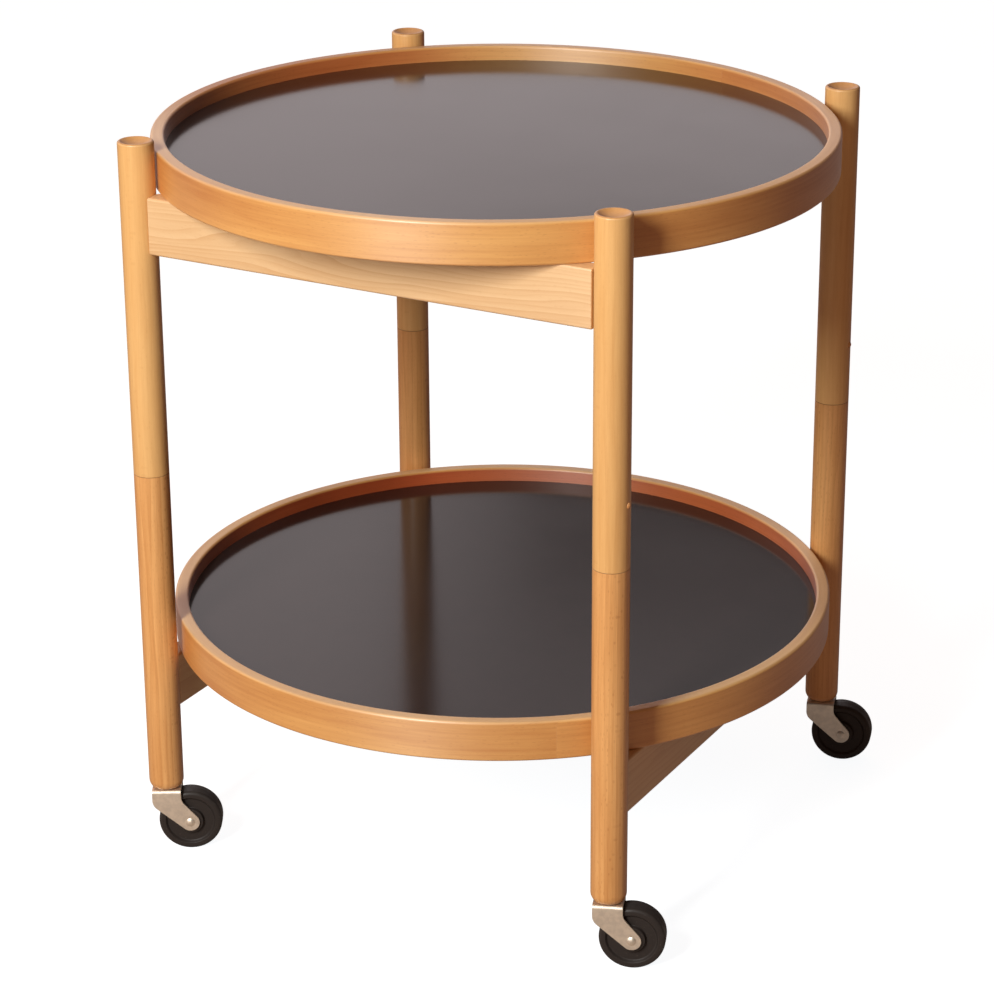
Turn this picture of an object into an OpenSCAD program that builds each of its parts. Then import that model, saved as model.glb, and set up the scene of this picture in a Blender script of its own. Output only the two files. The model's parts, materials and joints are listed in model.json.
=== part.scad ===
// Folding side table: two round trays carried by a four-post frame on swivel casters.
// Millimetres, +Z up. Origin on the floor, midway between the four posts.
// +X runs along the two top rails, +Y along the two bottom rails.

/* [Trays] */
// Outside diameter of a tray
tray_d = 500; // [440:2:560]
// Height of a tray's bent rim
rim_h = 30; // [26:0.5:40]
// Thickness of the rim
rim_t = 10; // [8:0.5:14]
// Rounding of the rim's long edges
rim_round = 2; // [0.5:0.25:3]
// Thickness of the panel's wood core
core_t = 5.6; // [4:0.2:9]
// Thickness of the laminate on each face of the panel
laminate_t = 0.7; // [0.5:0.1:1.2]
// Depth that the core of the panel is let into the rim
groove_depth = 4; // [2:0.5:6]
// Gap between a centred tray and each post
post_gap = 3.6; // [2.6:0.1:6]
// Gap that the top tray leaves at the front left post, where it lies a little off centre
rest_gap = 0.9; // [0.6:0.1:2.4]
// Height from the lower tray's seat to the top tray's seat
tray_pitch = 361; // [310:1:420]

/* [Posts] */
// Diameter of the four round posts
post_d = 26; // [24:0.5:32]
// Height of the posts above the top tray's rim
post_rise = 8.5; // [4:0.5:20]
// Rounding of the posts' top edge
top_round = 1.6; // [0.8:0.2:2.4]
// Diameter of the hollow in a post's top
dish_d = 22; // [14:0.5:22.5]
// Depth of the hollow in a post's top
dish_depth = 3.2; // [1.5:0.1:6]
// Diameter of the flat under a post
foot_d = 22; // [20:0.5:23]
// Radius of the rounding round a post's foot
foot_round = 8; // [5:0.5:12]
// Length of the lower half of a post, up to the seam
lower_post_l = 254; // [200:1:280]
// Eased edge of both halves at the seam
seam_ease = 0.35; // [0.2:0.05:0.8]

/* [Post pivots] */
// Diameter of the round tenon that turns in the upper half
tenon_d = 16; // [14:0.5:18]
// Length of the tenon
tenon_l = 64; // [56:1:80]
// Height of the retaining pin above the seam
pin_rise = 47; // [30:1:50]
// Diameter of the retaining pin
pin_d = 5; // [4:0.25:6]
// Height of the pin's domed head outside the post
pin_head = 1.3; // [0.8:0.1:2]
// Diameter at the bottom of the groove that the pin runs in
groove_d = 11; // [9:0.5:12]

/* [Rails] */
// Thickness of the rails
rail_t = 15; // [13:0.5:20]
// Depth of the rails
rail_depth = 42; // [36:1:50]
// Rounding of the rails' edges
rail_round = 2; // [0.5:0.25:3]
// Height of the bottom rails' lower edge above the posts' feet
rail_lift = 62; // [52:1:90]
// Depth that a rail's end is let into a flat on the post
rail_seat = 0.6; // [0.3:0.1:1.2]
// Diameter of the dowels in the rails' ends
dowel_d = 8; // [6:0.5:9]
// Depth of a dowel in the post
dowel_in_post = 10; // [8:0.5:11]
// Depth of a dowel in the rail
dowel_in_rail = 16; // [12:1:24]
// Distance between the two dowels of a joint
dowel_pitch = 22; // [16:1:24]

/* [Casters] */
// Wheel diameter
wheel_d = 48; // [40:1:60]
// Width of the wheel's tread
wheel_w = 16; // [12:0.5:22]
// Distance from the swivel axis back to the axle
trail = 17.5; // [14:0.5:22]
// Diameter of the wheel's hub
hub_d = 19; // [14:0.5:22]
// How far the hub stands out past the tread on each side
hub_stand = 1; // [0.5:0.1:2]
// How far the wheel's web lies below the tread's side
web_inset = 2; // [1:0.1:4]
// Diameter where the web meets the rim of the wheel
web_d = 35; // [30:0.5:37]
// Rounding of the tread's corners
tread_round = 2.8; // [1:0.2:4]
// Thickness of the fork's steel
sheet_t = 1.6; // [1.2:0.1:2.5]
// Outer radius of the bend between the fork's crown and a cheek
bend_r = 2.6; // [2.4:0.1:3.6]
// Room between the wheel's top and the fork's crown
headroom = 1.2; // [0.8:0.1:4]
// Reach of the fork ahead of the swivel axis
fork_ahead = 10.6; // [9:0.2:12]
// Reach of the fork's crown behind the swivel axis
fork_behind = 11.2; // [9:0.2:13]
// Height from the crown's top down to the knee of the cheek's front edge
front_knee = 12.5; // [9:0.5:15]
// Height from the crown's top down to the knee of the cheek's rear edge
rear_knee = 9; // [6:0.5:12]
// Radius of the cheek's end round the axle
cheek_end_r = 7; // [6:0.25:8]
// Diameter of the axle rivet
axle_d = 5; // [4:0.25:6]
// Diameter of the rivet's heads
rivet_head_d = 7; // [6.5:0.25:9]
// Height of the rivet's heads
rivet_head_h = 1.4; // [1:0.1:2]
// Swivel angle at which each caster stands: front left, front right, back right, back left
caster_turn = [30, 21, 17, 25]; // [0:1:359]

/* [Caster stems] */
// Diameter of the stem
stem_d = 8; // [7:0.5:9]
// Length of the stem in its sleeve
stem_l = 34; // [28:1:45]
// Diameter of the collar between fork and sleeve
collar_d = 13; // [11:0.5:16]
// Thickness of the collar
collar_t = 0.6; // [0.4:0.1:1.2]
// Outside diameter of the sleeve
sleeve_d = 12; // [11:0.5:14]
// Depth of the sleeve in the post
sleeve_l = 38; // [32:1:48]
// Diameter of the sleeve's flange
flange_d = 18; // [15:0.5:19]
// Thickness of the flange
flange_t = 0.8; // [0.6:0.1:1.2]
// Height of the spring ring above the collar
ring_rise = 25; // [15:1:26]
// Thickness of the spring ring
ring_t = 1.2; // [0.8:0.1:1.6]

/* [Clearances] */
// Radial clearance of a shaft that turns in a hole
running_gap = 0.05; // [0.02:0.01:0.09]
// Clearance of parts that pass without touching
free_gap = 0.3; // [0.25:0.05:0.6]
// Radial clearance of a glued or pressed part in its hole
glue_gap = 0.05; // [0.02:0.01:0.1]

/* [Hidden] */

// The posts by number, as signs of X and Y
FRONT_LEFT = 0;
FRONT_RIGHT = 1;
BACK_RIGHT = 2;
BACK_LEFT = 3;
corners = [[-1, -1], [1, -1], [1, 1], [-1, 1]];
FRONT = -1;
BACK = 1;
LEFT = -1;
RIGHT = 1;

// Colours
upper_beech = "#EDBE7C";
lower_beech = "#D9995A";
rail_beech = "#F0BF8B";
rim_beech = "#D8924F";
core_wood = "#C9A06A";
dowel_wood = "#E3C08E";
pin_wood = "#C58B55";
laminate_brown = "#352B2A";
nickel = "#BFB39C";
wheel_black = "#1C1A1A";

// Facets of the turned parts
post_fn = 96;
tray_fn = 256;
small_fn = 48;
corner_steps = 6;
dish_steps = 10;
overrun = 1;

// Sizes that follow
tray_r = tray_d / 2;
post_r = post_d / 2;
post_spacing = sqrt(2) * (tray_r + post_gap + post_r);
half_spacing = post_spacing / 2;
panel_t = core_t + 2 * laminate_t;
laminate_r = tray_r - rim_t - glue_gap;
core_r = laminate_r + groove_depth;
panel_z = (rim_h - panel_t) / 2;
core_z = panel_z + laminate_t;
tray_shift = (post_gap - rest_gap) / sqrt(2);

// Heights above the floor, from the wheels up
axle_z = wheel_d / 2;
crown_under_z = wheel_d + headroom;
crown_z = crown_under_z + sheet_t;
flange_z = crown_z + collar_t;
foot_z = flange_z + flange_t;
lower_seat_z = foot_z + rail_lift + rail_depth;
top_seat_z = lower_seat_z + tray_pitch;
seam_z = foot_z + lower_post_l;
pin_z = seam_z + pin_rise;
post_top_z = top_seat_z + rim_h + post_rise;

// Rails
rail_end = half_spacing - post_r + rail_seat;
rail_l = 2 * rail_end;
dowel_end = 0.8;

// Post pivots
bore_d = tenon_d + 2 * running_gap;
bore_l = tenon_l + 2 * free_gap;
tenon_ease = 1;
groove_h = pin_d + 2 * free_gap;
pin_tip = groove_d / 2 + free_gap;

// Posts' ends
dish_sphere_r = (dish_d * dish_d / 4 + dish_depth * dish_depth) / (2 * dish_depth);
foot_angle = acos(1 - (post_d - foot_d) / 2 / foot_round);
foot_h = foot_round * sin(foot_angle);

// Casters
wheel_r = wheel_d / 2;
hub_w = wheel_w + 2 * hub_stand;
web_w = wheel_w - 2 * web_inset;
web_slope = 1.5;
hub_slope = 0.8;
fork_inner_w = hub_w + 2 * free_gap;
fork_w = fork_inner_w + 2 * sheet_t;
stem_neck_d = stem_d - 2;
stem_rivet_d = stem_d + 1;
stem_rivet_h = 1.5;
stem_point = 1.5;
ring_z = flange_z + ring_rise;
ring_in_d = stem_d - 2 * ring_t + 0.8;
ring_out_d = ring_in_d + 2 * ring_t;
ring_seat_d = ring_in_d - 2 * glue_gap;
ring_room_d = ring_out_d + 2 * free_gap;
ring_split = 30;

// ---- outlines ----

function unit(v) = v / norm(v);

// Points of the arc round centre from angle a0 to a1
function arc(centre, r, a0, a1, steps) =
    [for (i = [0:steps]) centre + r * [cos(a0 + (a1 - a0) * i / steps), sin(a0 + (a1 - a0) * i / steps)]];

// Rounds the corner at b, between a and c, to radius r
function corner_arc(a, b, c, r) =
    let (
        u = unit(a - b),
        v = unit(c - b),
        half = acos(u * v) / 2,
        centre = b + unit(u + v) * r / sin(half),
        s = b + u * r / tan(half) - centre,
        e = b + v * r / tan(half) - centre,
        a0 = atan2(s.y, s.x),
        turn = atan2(e.y, e.x) - a0,
        sweep = turn > 180 ? turn - 360 : turn < -180 ? turn + 360 : turn
    )
    arc(centre, r, a0, a0 + sweep, corner_steps);

function flat_point(p) = [p.x, p.y];

// An outline from corners written as [x, y, rounding]
function rounded(points) =
    let (n = len(points))
    [for (i = [0:n - 1])
        let (p = points[i])
        each p.z == 0
            ? [flat_point(p)]
            : corner_arc(flat_point(points[(i + n - 1) % n]), flat_point(p), flat_point(points[(i + 1) % n]), p.z)];

function rounded_box(w, h, r) =
    rounded([[-w / 2, -h / 2, r], [w / 2, -h / 2, r], [w / 2, h / 2, r], [-w / 2, h / 2, r]]);

// ---- placing ----

module at_post(i) {
    translate([corners[i].x * half_spacing, corners[i].y * half_spacing, 0]) children();
}

// A caster's own frame: +X trails behind the swivel axis, Y is the axle's direction
module at_caster(i) {
    at_post(i) rotate([0, 0, caster_turn[i]]) children();
}

module at_axle(i) {
    at_caster(i) translate([trail, 0, axle_z]) rotate([90, 0, 0]) children();
}

module along_x(sign) {
    rotate([0, 90 * sign, 0]) children();
}

// ---- posts ----

// The flat and the dowel holes for a rail that leaves a post along +X, with its top at seat_z
module rail_joint_cut(seat_z) {
    translate([post_r - rail_seat, -post_r, seat_z - rail_depth]) cube([post_r, post_d, rail_depth]);
    for (side = [-1, 1])
        translate([post_r - rail_seat - dowel_in_post, 0, seat_z - rail_depth / 2 + side * dowel_pitch / 2])
            along_x(1) cylinder(d = dowel_d + 2 * glue_gap, h = dowel_in_post + overrun, $fn = small_fn);
}

module upper_leg(i) {
    dish_centre_z = post_top_z - dish_depth + dish_sphere_r;
    dish_angle = asin(dish_d / 2 / dish_sphere_r);
    profile = concat(
        [[0, seam_z], [post_r - seam_ease, seam_z], [post_r, seam_z + seam_ease]],
        arc([post_r - top_round, post_top_z - top_round], top_round, 0, 90, corner_steps),
        arc([0, dish_centre_z], dish_sphere_r, dish_angle - 90, -90, dish_steps)
    );
    color(upper_beech) at_post(i) difference() {
        rotate_extrude($fn = post_fn) polygon(profile);
        translate([0, 0, seam_z - overrun]) cylinder(d = bore_d, h = bore_l + overrun, $fn = post_fn);
        translate([0, 0, pin_z]) along_x(corners[i].x)
            cylinder(d = pin_d + 2 * glue_gap, h = post_d, $fn = small_fn);
        rotate([0, 0, corners[i].x > 0 ? 180 : 0]) rail_joint_cut(top_seat_z);
    }
}

module lower_leg(i) {
    foot = [for (step = [0:corner_steps])
        let (a = foot_angle * (1 - step / corner_steps))
        [post_r - foot_round * (1 - cos(a)), foot_z + foot_h - foot_round * sin(a)]];
    profile = concat(
        [[0, foot_z]],
        foot,
        [
            [post_r, seam_z - seam_ease],
            [post_r - seam_ease, seam_z],
            [tenon_d / 2, seam_z],
            [tenon_d / 2, pin_z - groove_h / 2],
            [groove_d / 2, pin_z - groove_h / 2],
            [groove_d / 2, pin_z + groove_h / 2],
            [tenon_d / 2, pin_z + groove_h / 2],
            [tenon_d / 2, seam_z + tenon_l - tenon_ease],
            [tenon_d / 2 - tenon_ease, seam_z + tenon_l],
            [0, seam_z + tenon_l]
        ]
    );
    color(lower_beech) at_post(i) difference() {
        rotate_extrude($fn = post_fn) polygon(profile);
        translate([0, 0, foot_z - overrun])
            cylinder(d = sleeve_d + 2 * glue_gap, h = sleeve_l + free_gap + overrun, $fn = post_fn);
        rotate([0, 0, corners[i].y > 0 ? -90 : 90]) rail_joint_cut(lower_seat_z);
    }
}

// A pin from the outside of the post into the tenon's groove, with a domed head
module retaining_pin(i) {
    head_r = (pin_d * pin_d / 4 + pin_head * pin_head) / (2 * pin_head);
    head_angle = asin(pin_d / 2 / head_r);
    profile = concat(
        [[0, pin_tip], [pin_d / 2, pin_tip]],
        arc([0, post_r + pin_head - head_r], head_r, 90 - head_angle, 90, corner_steps)
    );
    color(pin_wood) at_post(i) translate([0, 0, pin_z]) along_x(corners[i].x)
        rotate_extrude($fn = small_fn) polygon(profile);
}

// ---- rails ----

// A bar along X with all its edges eased, its top at z = 0
module eased_bar() {
    translate([0, 0, -rail_depth / 2]) difference() {
        intersection() {
            rotate([90, 0, 90]) linear_extrude(rail_l, center = true)
                polygon(rounded_box(rail_t, rail_depth, rail_round));
            linear_extrude(rail_depth, center = true)
                polygon(rounded_box(rail_l, rail_t, rail_round));
            rotate([90, 0, 0]) linear_extrude(rail_t, center = true)
                polygon(rounded_box(rail_l, rail_depth, rail_round));
        }
        for (end = [-1, 1])
            for (side = [-1, 1])
                translate([end * (rail_l / 2 + overrun), 0, side * dowel_pitch / 2]) along_x(-end)
                    cylinder(d = dowel_d + 2 * glue_gap, h = dowel_in_rail + overrun, $fn = small_fn);
    }
}

// The four dowels of one rail, in the place of eased_bar
module bar_dowels() {
    dowel_l = dowel_in_post + dowel_in_rail;
    dowel_r = dowel_d / 2;
    profile = [
        [0, 0], [dowel_r - dowel_end, 0], [dowel_r, dowel_end],
        [dowel_r, dowel_l - dowel_end], [dowel_r - dowel_end, dowel_l], [0, dowel_l]
    ];
    translate([0, 0, -rail_depth / 2])
        for (end = [-1, 1])
            for (side = [-1, 1])
                translate([end * (rail_l / 2 + dowel_in_post), 0, side * dowel_pitch / 2])
                    along_x(-end) rotate_extrude($fn = small_fn) polygon(profile);
}

module at_top_rail(side) {
    translate([0, side * half_spacing, top_seat_z]) children();
}

module at_bottom_rail(side) {
    translate([side * half_spacing, 0, lower_seat_z]) rotate([0, 0, 90]) children();
}

// ---- trays ----

module at_top_tray() {
    translate([-tray_shift, -tray_shift, top_seat_z]) children();
}

module at_bottom_tray() {
    translate([0, 0, lower_seat_z]) children();
}

module tray_rim() {
    inner = tray_r - rim_t;
    groove_r = inner + groove_depth;
    profile = rounded([
        [inner, 0, rim_round],
        [tray_r, 0, rim_round],
        [tray_r, rim_h, rim_round],
        [inner, rim_h, rim_round],
        [inner, core_z + core_t, 0],
        [groove_r, core_z + core_t, 0],
        [groove_r, core_z, 0],
        [inner, core_z, 0]
    ]);
    color(rim_beech) rotate_extrude($fn = tray_fn) polygon(profile);
}

// The core's edge is a tongue in the rim's groove
module tray_core() {
    color(core_wood) translate([0, 0, core_z]) cylinder(r = core_r, h = core_t, $fn = tray_fn);
}

module tray_laminate(z) {
    color(laminate_brown) translate([0, 0, z]) cylinder(r = laminate_r, h = laminate_t, $fn = tray_fn);
}

module upper_laminate() {
    tray_laminate(core_z + core_t);
}

module lower_laminate() {
    tray_laminate(panel_z);
}

// ---- casters ----

// Flanged sleeve in the foot of a post, with a room inside for the spring ring
module caster_sleeve(i) {
    inner_r = stem_d / 2 + running_gap;
    room_r = ring_room_d / 2;
    profile = [
        [inner_r, flange_z],
        [flange_d / 2, flange_z],
        [flange_d / 2, foot_z],
        [sleeve_d / 2, foot_z],
        [sleeve_d / 2, foot_z + sleeve_l],
        [inner_r, foot_z + sleeve_l],
        [inner_r, ring_z + ring_t + free_gap],
        [room_r, ring_z + ring_t + free_gap],
        [room_r, ring_z - free_gap],
        [inner_r, ring_z - free_gap]
    ];
    color(nickel) at_post(i) rotate_extrude($fn = small_fn) polygon(profile);
}

// Stem with a collar above the fork's crown and a rivet foot below it
module caster_stem(i) {
    r = stem_d / 2;
    top = flange_z + stem_l;
    profile = [
        [0, crown_under_z - stem_rivet_h],
        [stem_rivet_d / 2 - dowel_end, crown_under_z - stem_rivet_h],
        [stem_rivet_d / 2, crown_under_z - stem_rivet_h / 2],
        [stem_rivet_d / 2, crown_under_z],
        [stem_neck_d / 2, crown_under_z],
        [stem_neck_d / 2, crown_z],
        [collar_d / 2, crown_z],
        [collar_d / 2, flange_z],
        [r, flange_z],
        [r, ring_z - glue_gap],
        [ring_seat_d / 2, ring_z - glue_gap],
        [ring_seat_d / 2, ring_z + ring_t + glue_gap],
        [r, ring_z + ring_t + glue_gap],
        [r, top - stem_point],
        [r - stem_point, top],
        [0, top]
    ];
    color(nickel) at_post(i) rotate_extrude($fn = small_fn) polygon(profile);
}

// Split ring in the stem's groove
module stem_ring(i) {
    color(nickel) at_caster(i) translate([0, 0, ring_z]) rotate([0, 0, ring_split / 2])
        rotate_extrude(angle = 360 - ring_split, $fn = small_fn)
            polygon([[ring_in_d / 2, 0], [ring_out_d / 2, 0], [ring_out_d / 2, ring_t], [ring_in_d / 2, ring_t]]);
}

// Side outline of the pressed fork: two knees, and a round end about the axle
function fork_outline() =
    let (
        axle = [trail, axle_z],
        front = [-fork_ahead, crown_z - front_knee],
        rear = [fork_behind, crown_z - rear_knee],
        to_front = front - axle,
        to_rear = rear - axle,
        front_touch = atan2(to_front.y, to_front.x) + acos(cheek_end_r / norm(to_front)),
        rear_touch = atan2(to_rear.y, to_rear.x) - acos(cheek_end_r / norm(to_rear)),
        low = axle + cheek_end_r * [cos(front_touch), sin(front_touch)],
        high = axle + cheek_end_r * [cos(rear_touch), sin(rear_touch)],
        knee_r = 9
    )
    concat(
        [[-fork_ahead, crown_z + overrun]],
        corner_arc([-fork_ahead, crown_z], front, low, knee_r),
        arc(axle, cheek_end_r, front_touch, rear_touch + 360, 4 * corner_steps),
        corner_arc(high, rear, [fork_behind, crown_z], knee_r),
        [[fork_behind, crown_z + overrun]]
    );

// Section of the fork across the wheel: a crown bent down into two cheeks
function fork_section() =
    let (
        outer = fork_w / 2,
        inner = outer - sheet_t,
        bottom = axle_z - cheek_end_r - overrun
    )
    rounded([
        [-outer, bottom, 0],
        [-inner, bottom, 0],
        [-inner, crown_under_z, bend_r - sheet_t],
        [inner, crown_under_z, bend_r - sheet_t],
        [inner, bottom, 0],
        [outer, bottom, 0],
        [outer, crown_z, bend_r],
        [-outer, crown_z, bend_r]
    ]);

module caster_fork(i) {
    reach = fork_ahead + trail + cheek_end_r + overrun;
    color(nickel) at_caster(i) difference() {
        intersection() {
            rotate([90, 0, 0]) linear_extrude(fork_w + overrun, center = true) polygon(fork_outline());
            rotate([90, 0, 90]) linear_extrude(2 * reach, center = true) polygon(fork_section());
        }
        translate([0, 0, crown_under_z - overrun])
            cylinder(d = stem_neck_d, h = sheet_t + 2 * overrun, $fn = small_fn);
        translate([trail, 0, axle_z]) rotate([90, 0, 0])
            cylinder(d = axle_d + 2 * glue_gap, h = fork_w + 2 * overrun, center = true, $fn = small_fn);
    }
}

module caster_axle(i) {
    half = fork_w / 2;
    head_r = (rivet_head_d * rivet_head_d / 4 + rivet_head_h * rivet_head_h) / (2 * rivet_head_h);
    head_angle = asin(rivet_head_d / 2 / head_r);
    head_centre = half + rivet_head_h - head_r;
    profile = concat(
        arc([0, -head_centre], head_r, -90, head_angle - 90, corner_steps),
        [[axle_d / 2, -half], [axle_d / 2, half]],
        arc([0, head_centre], head_r, 90 - head_angle, 90, corner_steps)
    );
    color(nickel) at_axle(i) rotate_extrude($fn = small_fn) polygon(profile);
}

module caster_wheel(i) {
    bore_r = axle_d / 2 + running_gap;
    hub_r = hub_d / 2;
    web_r = web_d / 2;
    hub = hub_w / 2;
    web = web_w / 2;
    tread = wheel_w / 2;
    profile = rounded([
        [bore_r, -hub, 0],
        [hub_r, -hub, 0.6],
        [hub_r + hub_slope, -web, 0.6],
        [web_r, -web, 1.2],
        [web_r + web_slope, -tread, 0.6],
        [wheel_r, -tread, tread_round],
        [wheel_r, tread, tread_round],
        [web_r + web_slope, tread, 0.6],
        [web_r, web, 1.2],
        [hub_r + hub_slope, web, 0.6],
        [hub_r, hub, 0.6],
        [bore_r, hub, 0]
    ]);
    color(wheel_black) at_axle(i) rotate_extrude($fn = post_fn) polygon(profile);
}

// ---- one node for each piece ----

upper_leg(FRONT_LEFT);  // front_left_upper_leg
upper_leg(FRONT_RIGHT);  // front_right_upper_leg
upper_leg(BACK_RIGHT);  // back_right_upper_leg
upper_leg(BACK_LEFT);  // back_left_upper_leg
lower_leg(FRONT_LEFT);  // front_left_lower_leg
lower_leg(FRONT_RIGHT);  // front_right_lower_leg
lower_leg(BACK_RIGHT);  // back_right_lower_leg
lower_leg(BACK_LEFT);  // back_left_lower_leg
color(rail_beech) at_top_rail(FRONT) eased_bar();  // front_top_rail
color(rail_beech) at_top_rail(BACK) eased_bar();  // back_top_rail
color(rail_beech) at_bottom_rail(LEFT) eased_bar();  // left_bottom_rail
color(rail_beech) at_bottom_rail(RIGHT) eased_bar();  // right_bottom_rail
color(dowel_wood) at_top_rail(FRONT) bar_dowels();  // front_rail_dowels
color(dowel_wood) at_top_rail(BACK) bar_dowels();  // back_rail_dowels
color(dowel_wood) at_bottom_rail(LEFT) bar_dowels();  // left_rail_dowels
color(dowel_wood) at_bottom_rail(RIGHT) bar_dowels();  // right_rail_dowels
union() {  // front_retaining_pins
    retaining_pin(FRONT_LEFT);
    retaining_pin(FRONT_RIGHT);
}
union() {  // back_retaining_pins
    retaining_pin(BACK_RIGHT);
    retaining_pin(BACK_LEFT);
}
at_top_tray() tray_rim();  // top_tray_rim
at_top_tray() tray_core();  // top_tray_core
at_top_tray() upper_laminate();  // top_tray_upper_laminate
at_top_tray() lower_laminate();  // top_tray_lower_laminate
at_bottom_tray() tray_rim();  // bottom_tray_rim
at_bottom_tray() tray_core();  // bottom_tray_core
at_bottom_tray() upper_laminate();  // bottom_tray_upper_laminate
at_bottom_tray() lower_laminate();  // bottom_tray_lower_laminate
caster_sleeve(FRONT_LEFT);  // front_left_caster_sleeve
caster_sleeve(FRONT_RIGHT);  // front_right_caster_sleeve
caster_sleeve(BACK_RIGHT);  // back_right_caster_sleeve
caster_sleeve(BACK_LEFT);  // back_left_caster_sleeve
caster_stem(FRONT_LEFT);  // front_left_caster_stem
caster_stem(FRONT_RIGHT);  // front_right_caster_stem
caster_stem(BACK_RIGHT);  // back_right_caster_stem
caster_stem(BACK_LEFT);  // back_left_caster_stem
stem_ring(FRONT_LEFT);  // front_left_stem_ring
stem_ring(FRONT_RIGHT);  // front_right_stem_ring
stem_ring(BACK_RIGHT);  // back_right_stem_ring
stem_ring(BACK_LEFT);  // back_left_stem_ring
caster_fork(FRONT_LEFT);  // front_left_caster_fork
caster_fork(FRONT_RIGHT);  // front_right_caster_fork
caster_fork(BACK_RIGHT);  // back_right_caster_fork
caster_fork(BACK_LEFT);  // back_left_caster_fork
caster_axle(FRONT_LEFT);  // front_left_caster_axle
caster_axle(FRONT_RIGHT);  // front_right_caster_axle
caster_axle(BACK_RIGHT);  // back_right_caster_axle
caster_axle(BACK_LEFT);  // back_left_caster_axle
caster_wheel(FRONT_LEFT);  // front_left_caster_wheel
caster_wheel(FRONT_RIGHT);  // front_right_caster_wheel
caster_wheel(BACK_RIGHT);  // back_right_caster_wheel
caster_wheel(BACK_LEFT);  // back_left_caster_wheel
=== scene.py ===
"""Visible pieces, finishes and stage of a folding side table with two round trays.

Metres, +Z up. The packed model says where each piece is. The sizes and colours in the panel give the fine
forms and the finishes.
"""

import json
import math

import bmesh
import bpy
from bpy.props import FloatProperty, FloatVectorProperty, IntProperty, PointerProperty
from mathutils import Matrix, Vector


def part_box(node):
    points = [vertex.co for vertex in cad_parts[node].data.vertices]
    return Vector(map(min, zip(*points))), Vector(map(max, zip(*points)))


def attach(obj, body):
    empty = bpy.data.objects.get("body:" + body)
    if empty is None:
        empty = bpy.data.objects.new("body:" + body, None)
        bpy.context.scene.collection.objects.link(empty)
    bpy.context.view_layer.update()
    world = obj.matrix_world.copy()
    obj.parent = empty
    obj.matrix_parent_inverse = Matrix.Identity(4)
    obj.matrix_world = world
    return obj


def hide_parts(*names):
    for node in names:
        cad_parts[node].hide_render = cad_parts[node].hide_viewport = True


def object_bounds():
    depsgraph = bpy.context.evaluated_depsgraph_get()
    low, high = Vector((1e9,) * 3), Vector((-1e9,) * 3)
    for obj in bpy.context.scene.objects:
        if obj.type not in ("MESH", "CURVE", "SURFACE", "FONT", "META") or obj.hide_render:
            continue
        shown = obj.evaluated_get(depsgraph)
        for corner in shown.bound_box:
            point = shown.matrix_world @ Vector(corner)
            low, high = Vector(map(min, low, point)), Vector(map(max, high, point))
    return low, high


bl_info = {
    "name": "Folding side table",
    "version": (1, 0, 0),
    "blender": (4, 5, 0),
    "location": "3D View > Sidebar > Side table",
    "description": "Builds the visible pieces, finishes and stage of a folding side table on casters",
    "category": "Add Mesh",
}

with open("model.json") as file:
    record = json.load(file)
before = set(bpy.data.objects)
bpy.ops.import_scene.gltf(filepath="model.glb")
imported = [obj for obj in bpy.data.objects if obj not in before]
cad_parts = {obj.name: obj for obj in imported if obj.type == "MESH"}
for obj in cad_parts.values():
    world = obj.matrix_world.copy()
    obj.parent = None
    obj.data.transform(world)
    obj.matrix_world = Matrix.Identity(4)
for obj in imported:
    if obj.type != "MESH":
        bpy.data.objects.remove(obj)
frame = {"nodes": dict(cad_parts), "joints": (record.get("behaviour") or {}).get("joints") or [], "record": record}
CAD_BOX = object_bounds()

CORNERS = ("front_left", "front_right", "back_right", "back_left")
RAILS = {"front_top_rail": 0, "back_top_rail": 0, "left_bottom_rail": 1, "right_bottom_rail": 1}
TRAYS = ("top_tray", "bottom_tray")
JOINTS = {joint["name"]: joint for joint in frame["joints"]}
BODY_OF = {
    node: body
    for body, nodes in frame["record"]["behaviour"]["bodies"].items()
    for node in nodes
}

# Names of the values that the meshes hand to their finishes
GRAIN = "grain"
END_GRAIN = "end_grain"
WEAR = "edge_wear"
# Painted light on the rims: a tone from pale for painted highlights to deep for painted shade
PAINTED_LIGHT_TONE = "deep_tone"

# How far the fibres are turned from upright, as a share of a full turn
UPRIGHT, RUNS_ROUND = 0.0, 0.25

# Painted light on each face of a rim, as a tone from -1 for pale to 2 for deep: a plain value, then swells,
# each with its azimuth from the front, its reach to each side, both in degrees, and its amount. The pale swell
# round azimuth 12 on the outer faces is a painted highlight of the lamp's sheen. The inner faces' swells are
# painted light and painted shade, set by how the faces turn to the lamp, on a plain deeper colour of their own.
# The pale tops are a painted gloss, with painted shade round azimuth 258 on the top tray.
RIM_PAINTED_LIGHT = {
    "top_tray": {
        "outer": (0.5, ((12, 58, -0.5),)),
        "inner": (1.0, ((192, 36, -1.4), (246, 40, 0.7))),
        "top": (-0.7, ((258, 50, 1.5),)),
    },
    "bottom_tray": {
        "outer": (0.5, ((12, 58, -0.5),)),
        "inner": (1.9, ((240, 45, 0.4),)),
        "top": (-0.8, ()),
    },
}

# The parts of a beech board's figure, and how strongly each shows on an inner piece. The sway is in metres.
FIGURE_PARTS = ("Rings", "Streaks", "Clouds", "Flecks", "Sway")
PLAIN_FIGURE = (0.3, 0.3, 0.2, 0.4, 0.002)

# The kinds of beech: material, colours, how the fibres run, shine, and how strongly each part of the figure
# shows
BEECHES = {
    "upper": ("Upper post beech", "upper", UPRIGHT, 0.65, (0.10, 0.24, 0.34, 0.12, 0.010)),
    "lower": ("Lower post beech", "lower", UPRIGHT, 0.65, (0.30, 0.34, 0.26, 0.38, 0.006)),
    "rail": ("Rail beech", "rail", RUNS_ROUND, 0.65, (0.36, 0.16, 0.26, 0.12, 0.026)),
    "rim": ("Bent rim beech", "rim", RUNS_ROUND, 1.0, (0.14, 0.24, 0.42, 0.28, 0.004)),
    "pin": ("Pin beech", "lower", UPRIGHT, 0.65, (0.2, 0.3, 0.2, 0.4, 0.001)),
}

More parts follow.
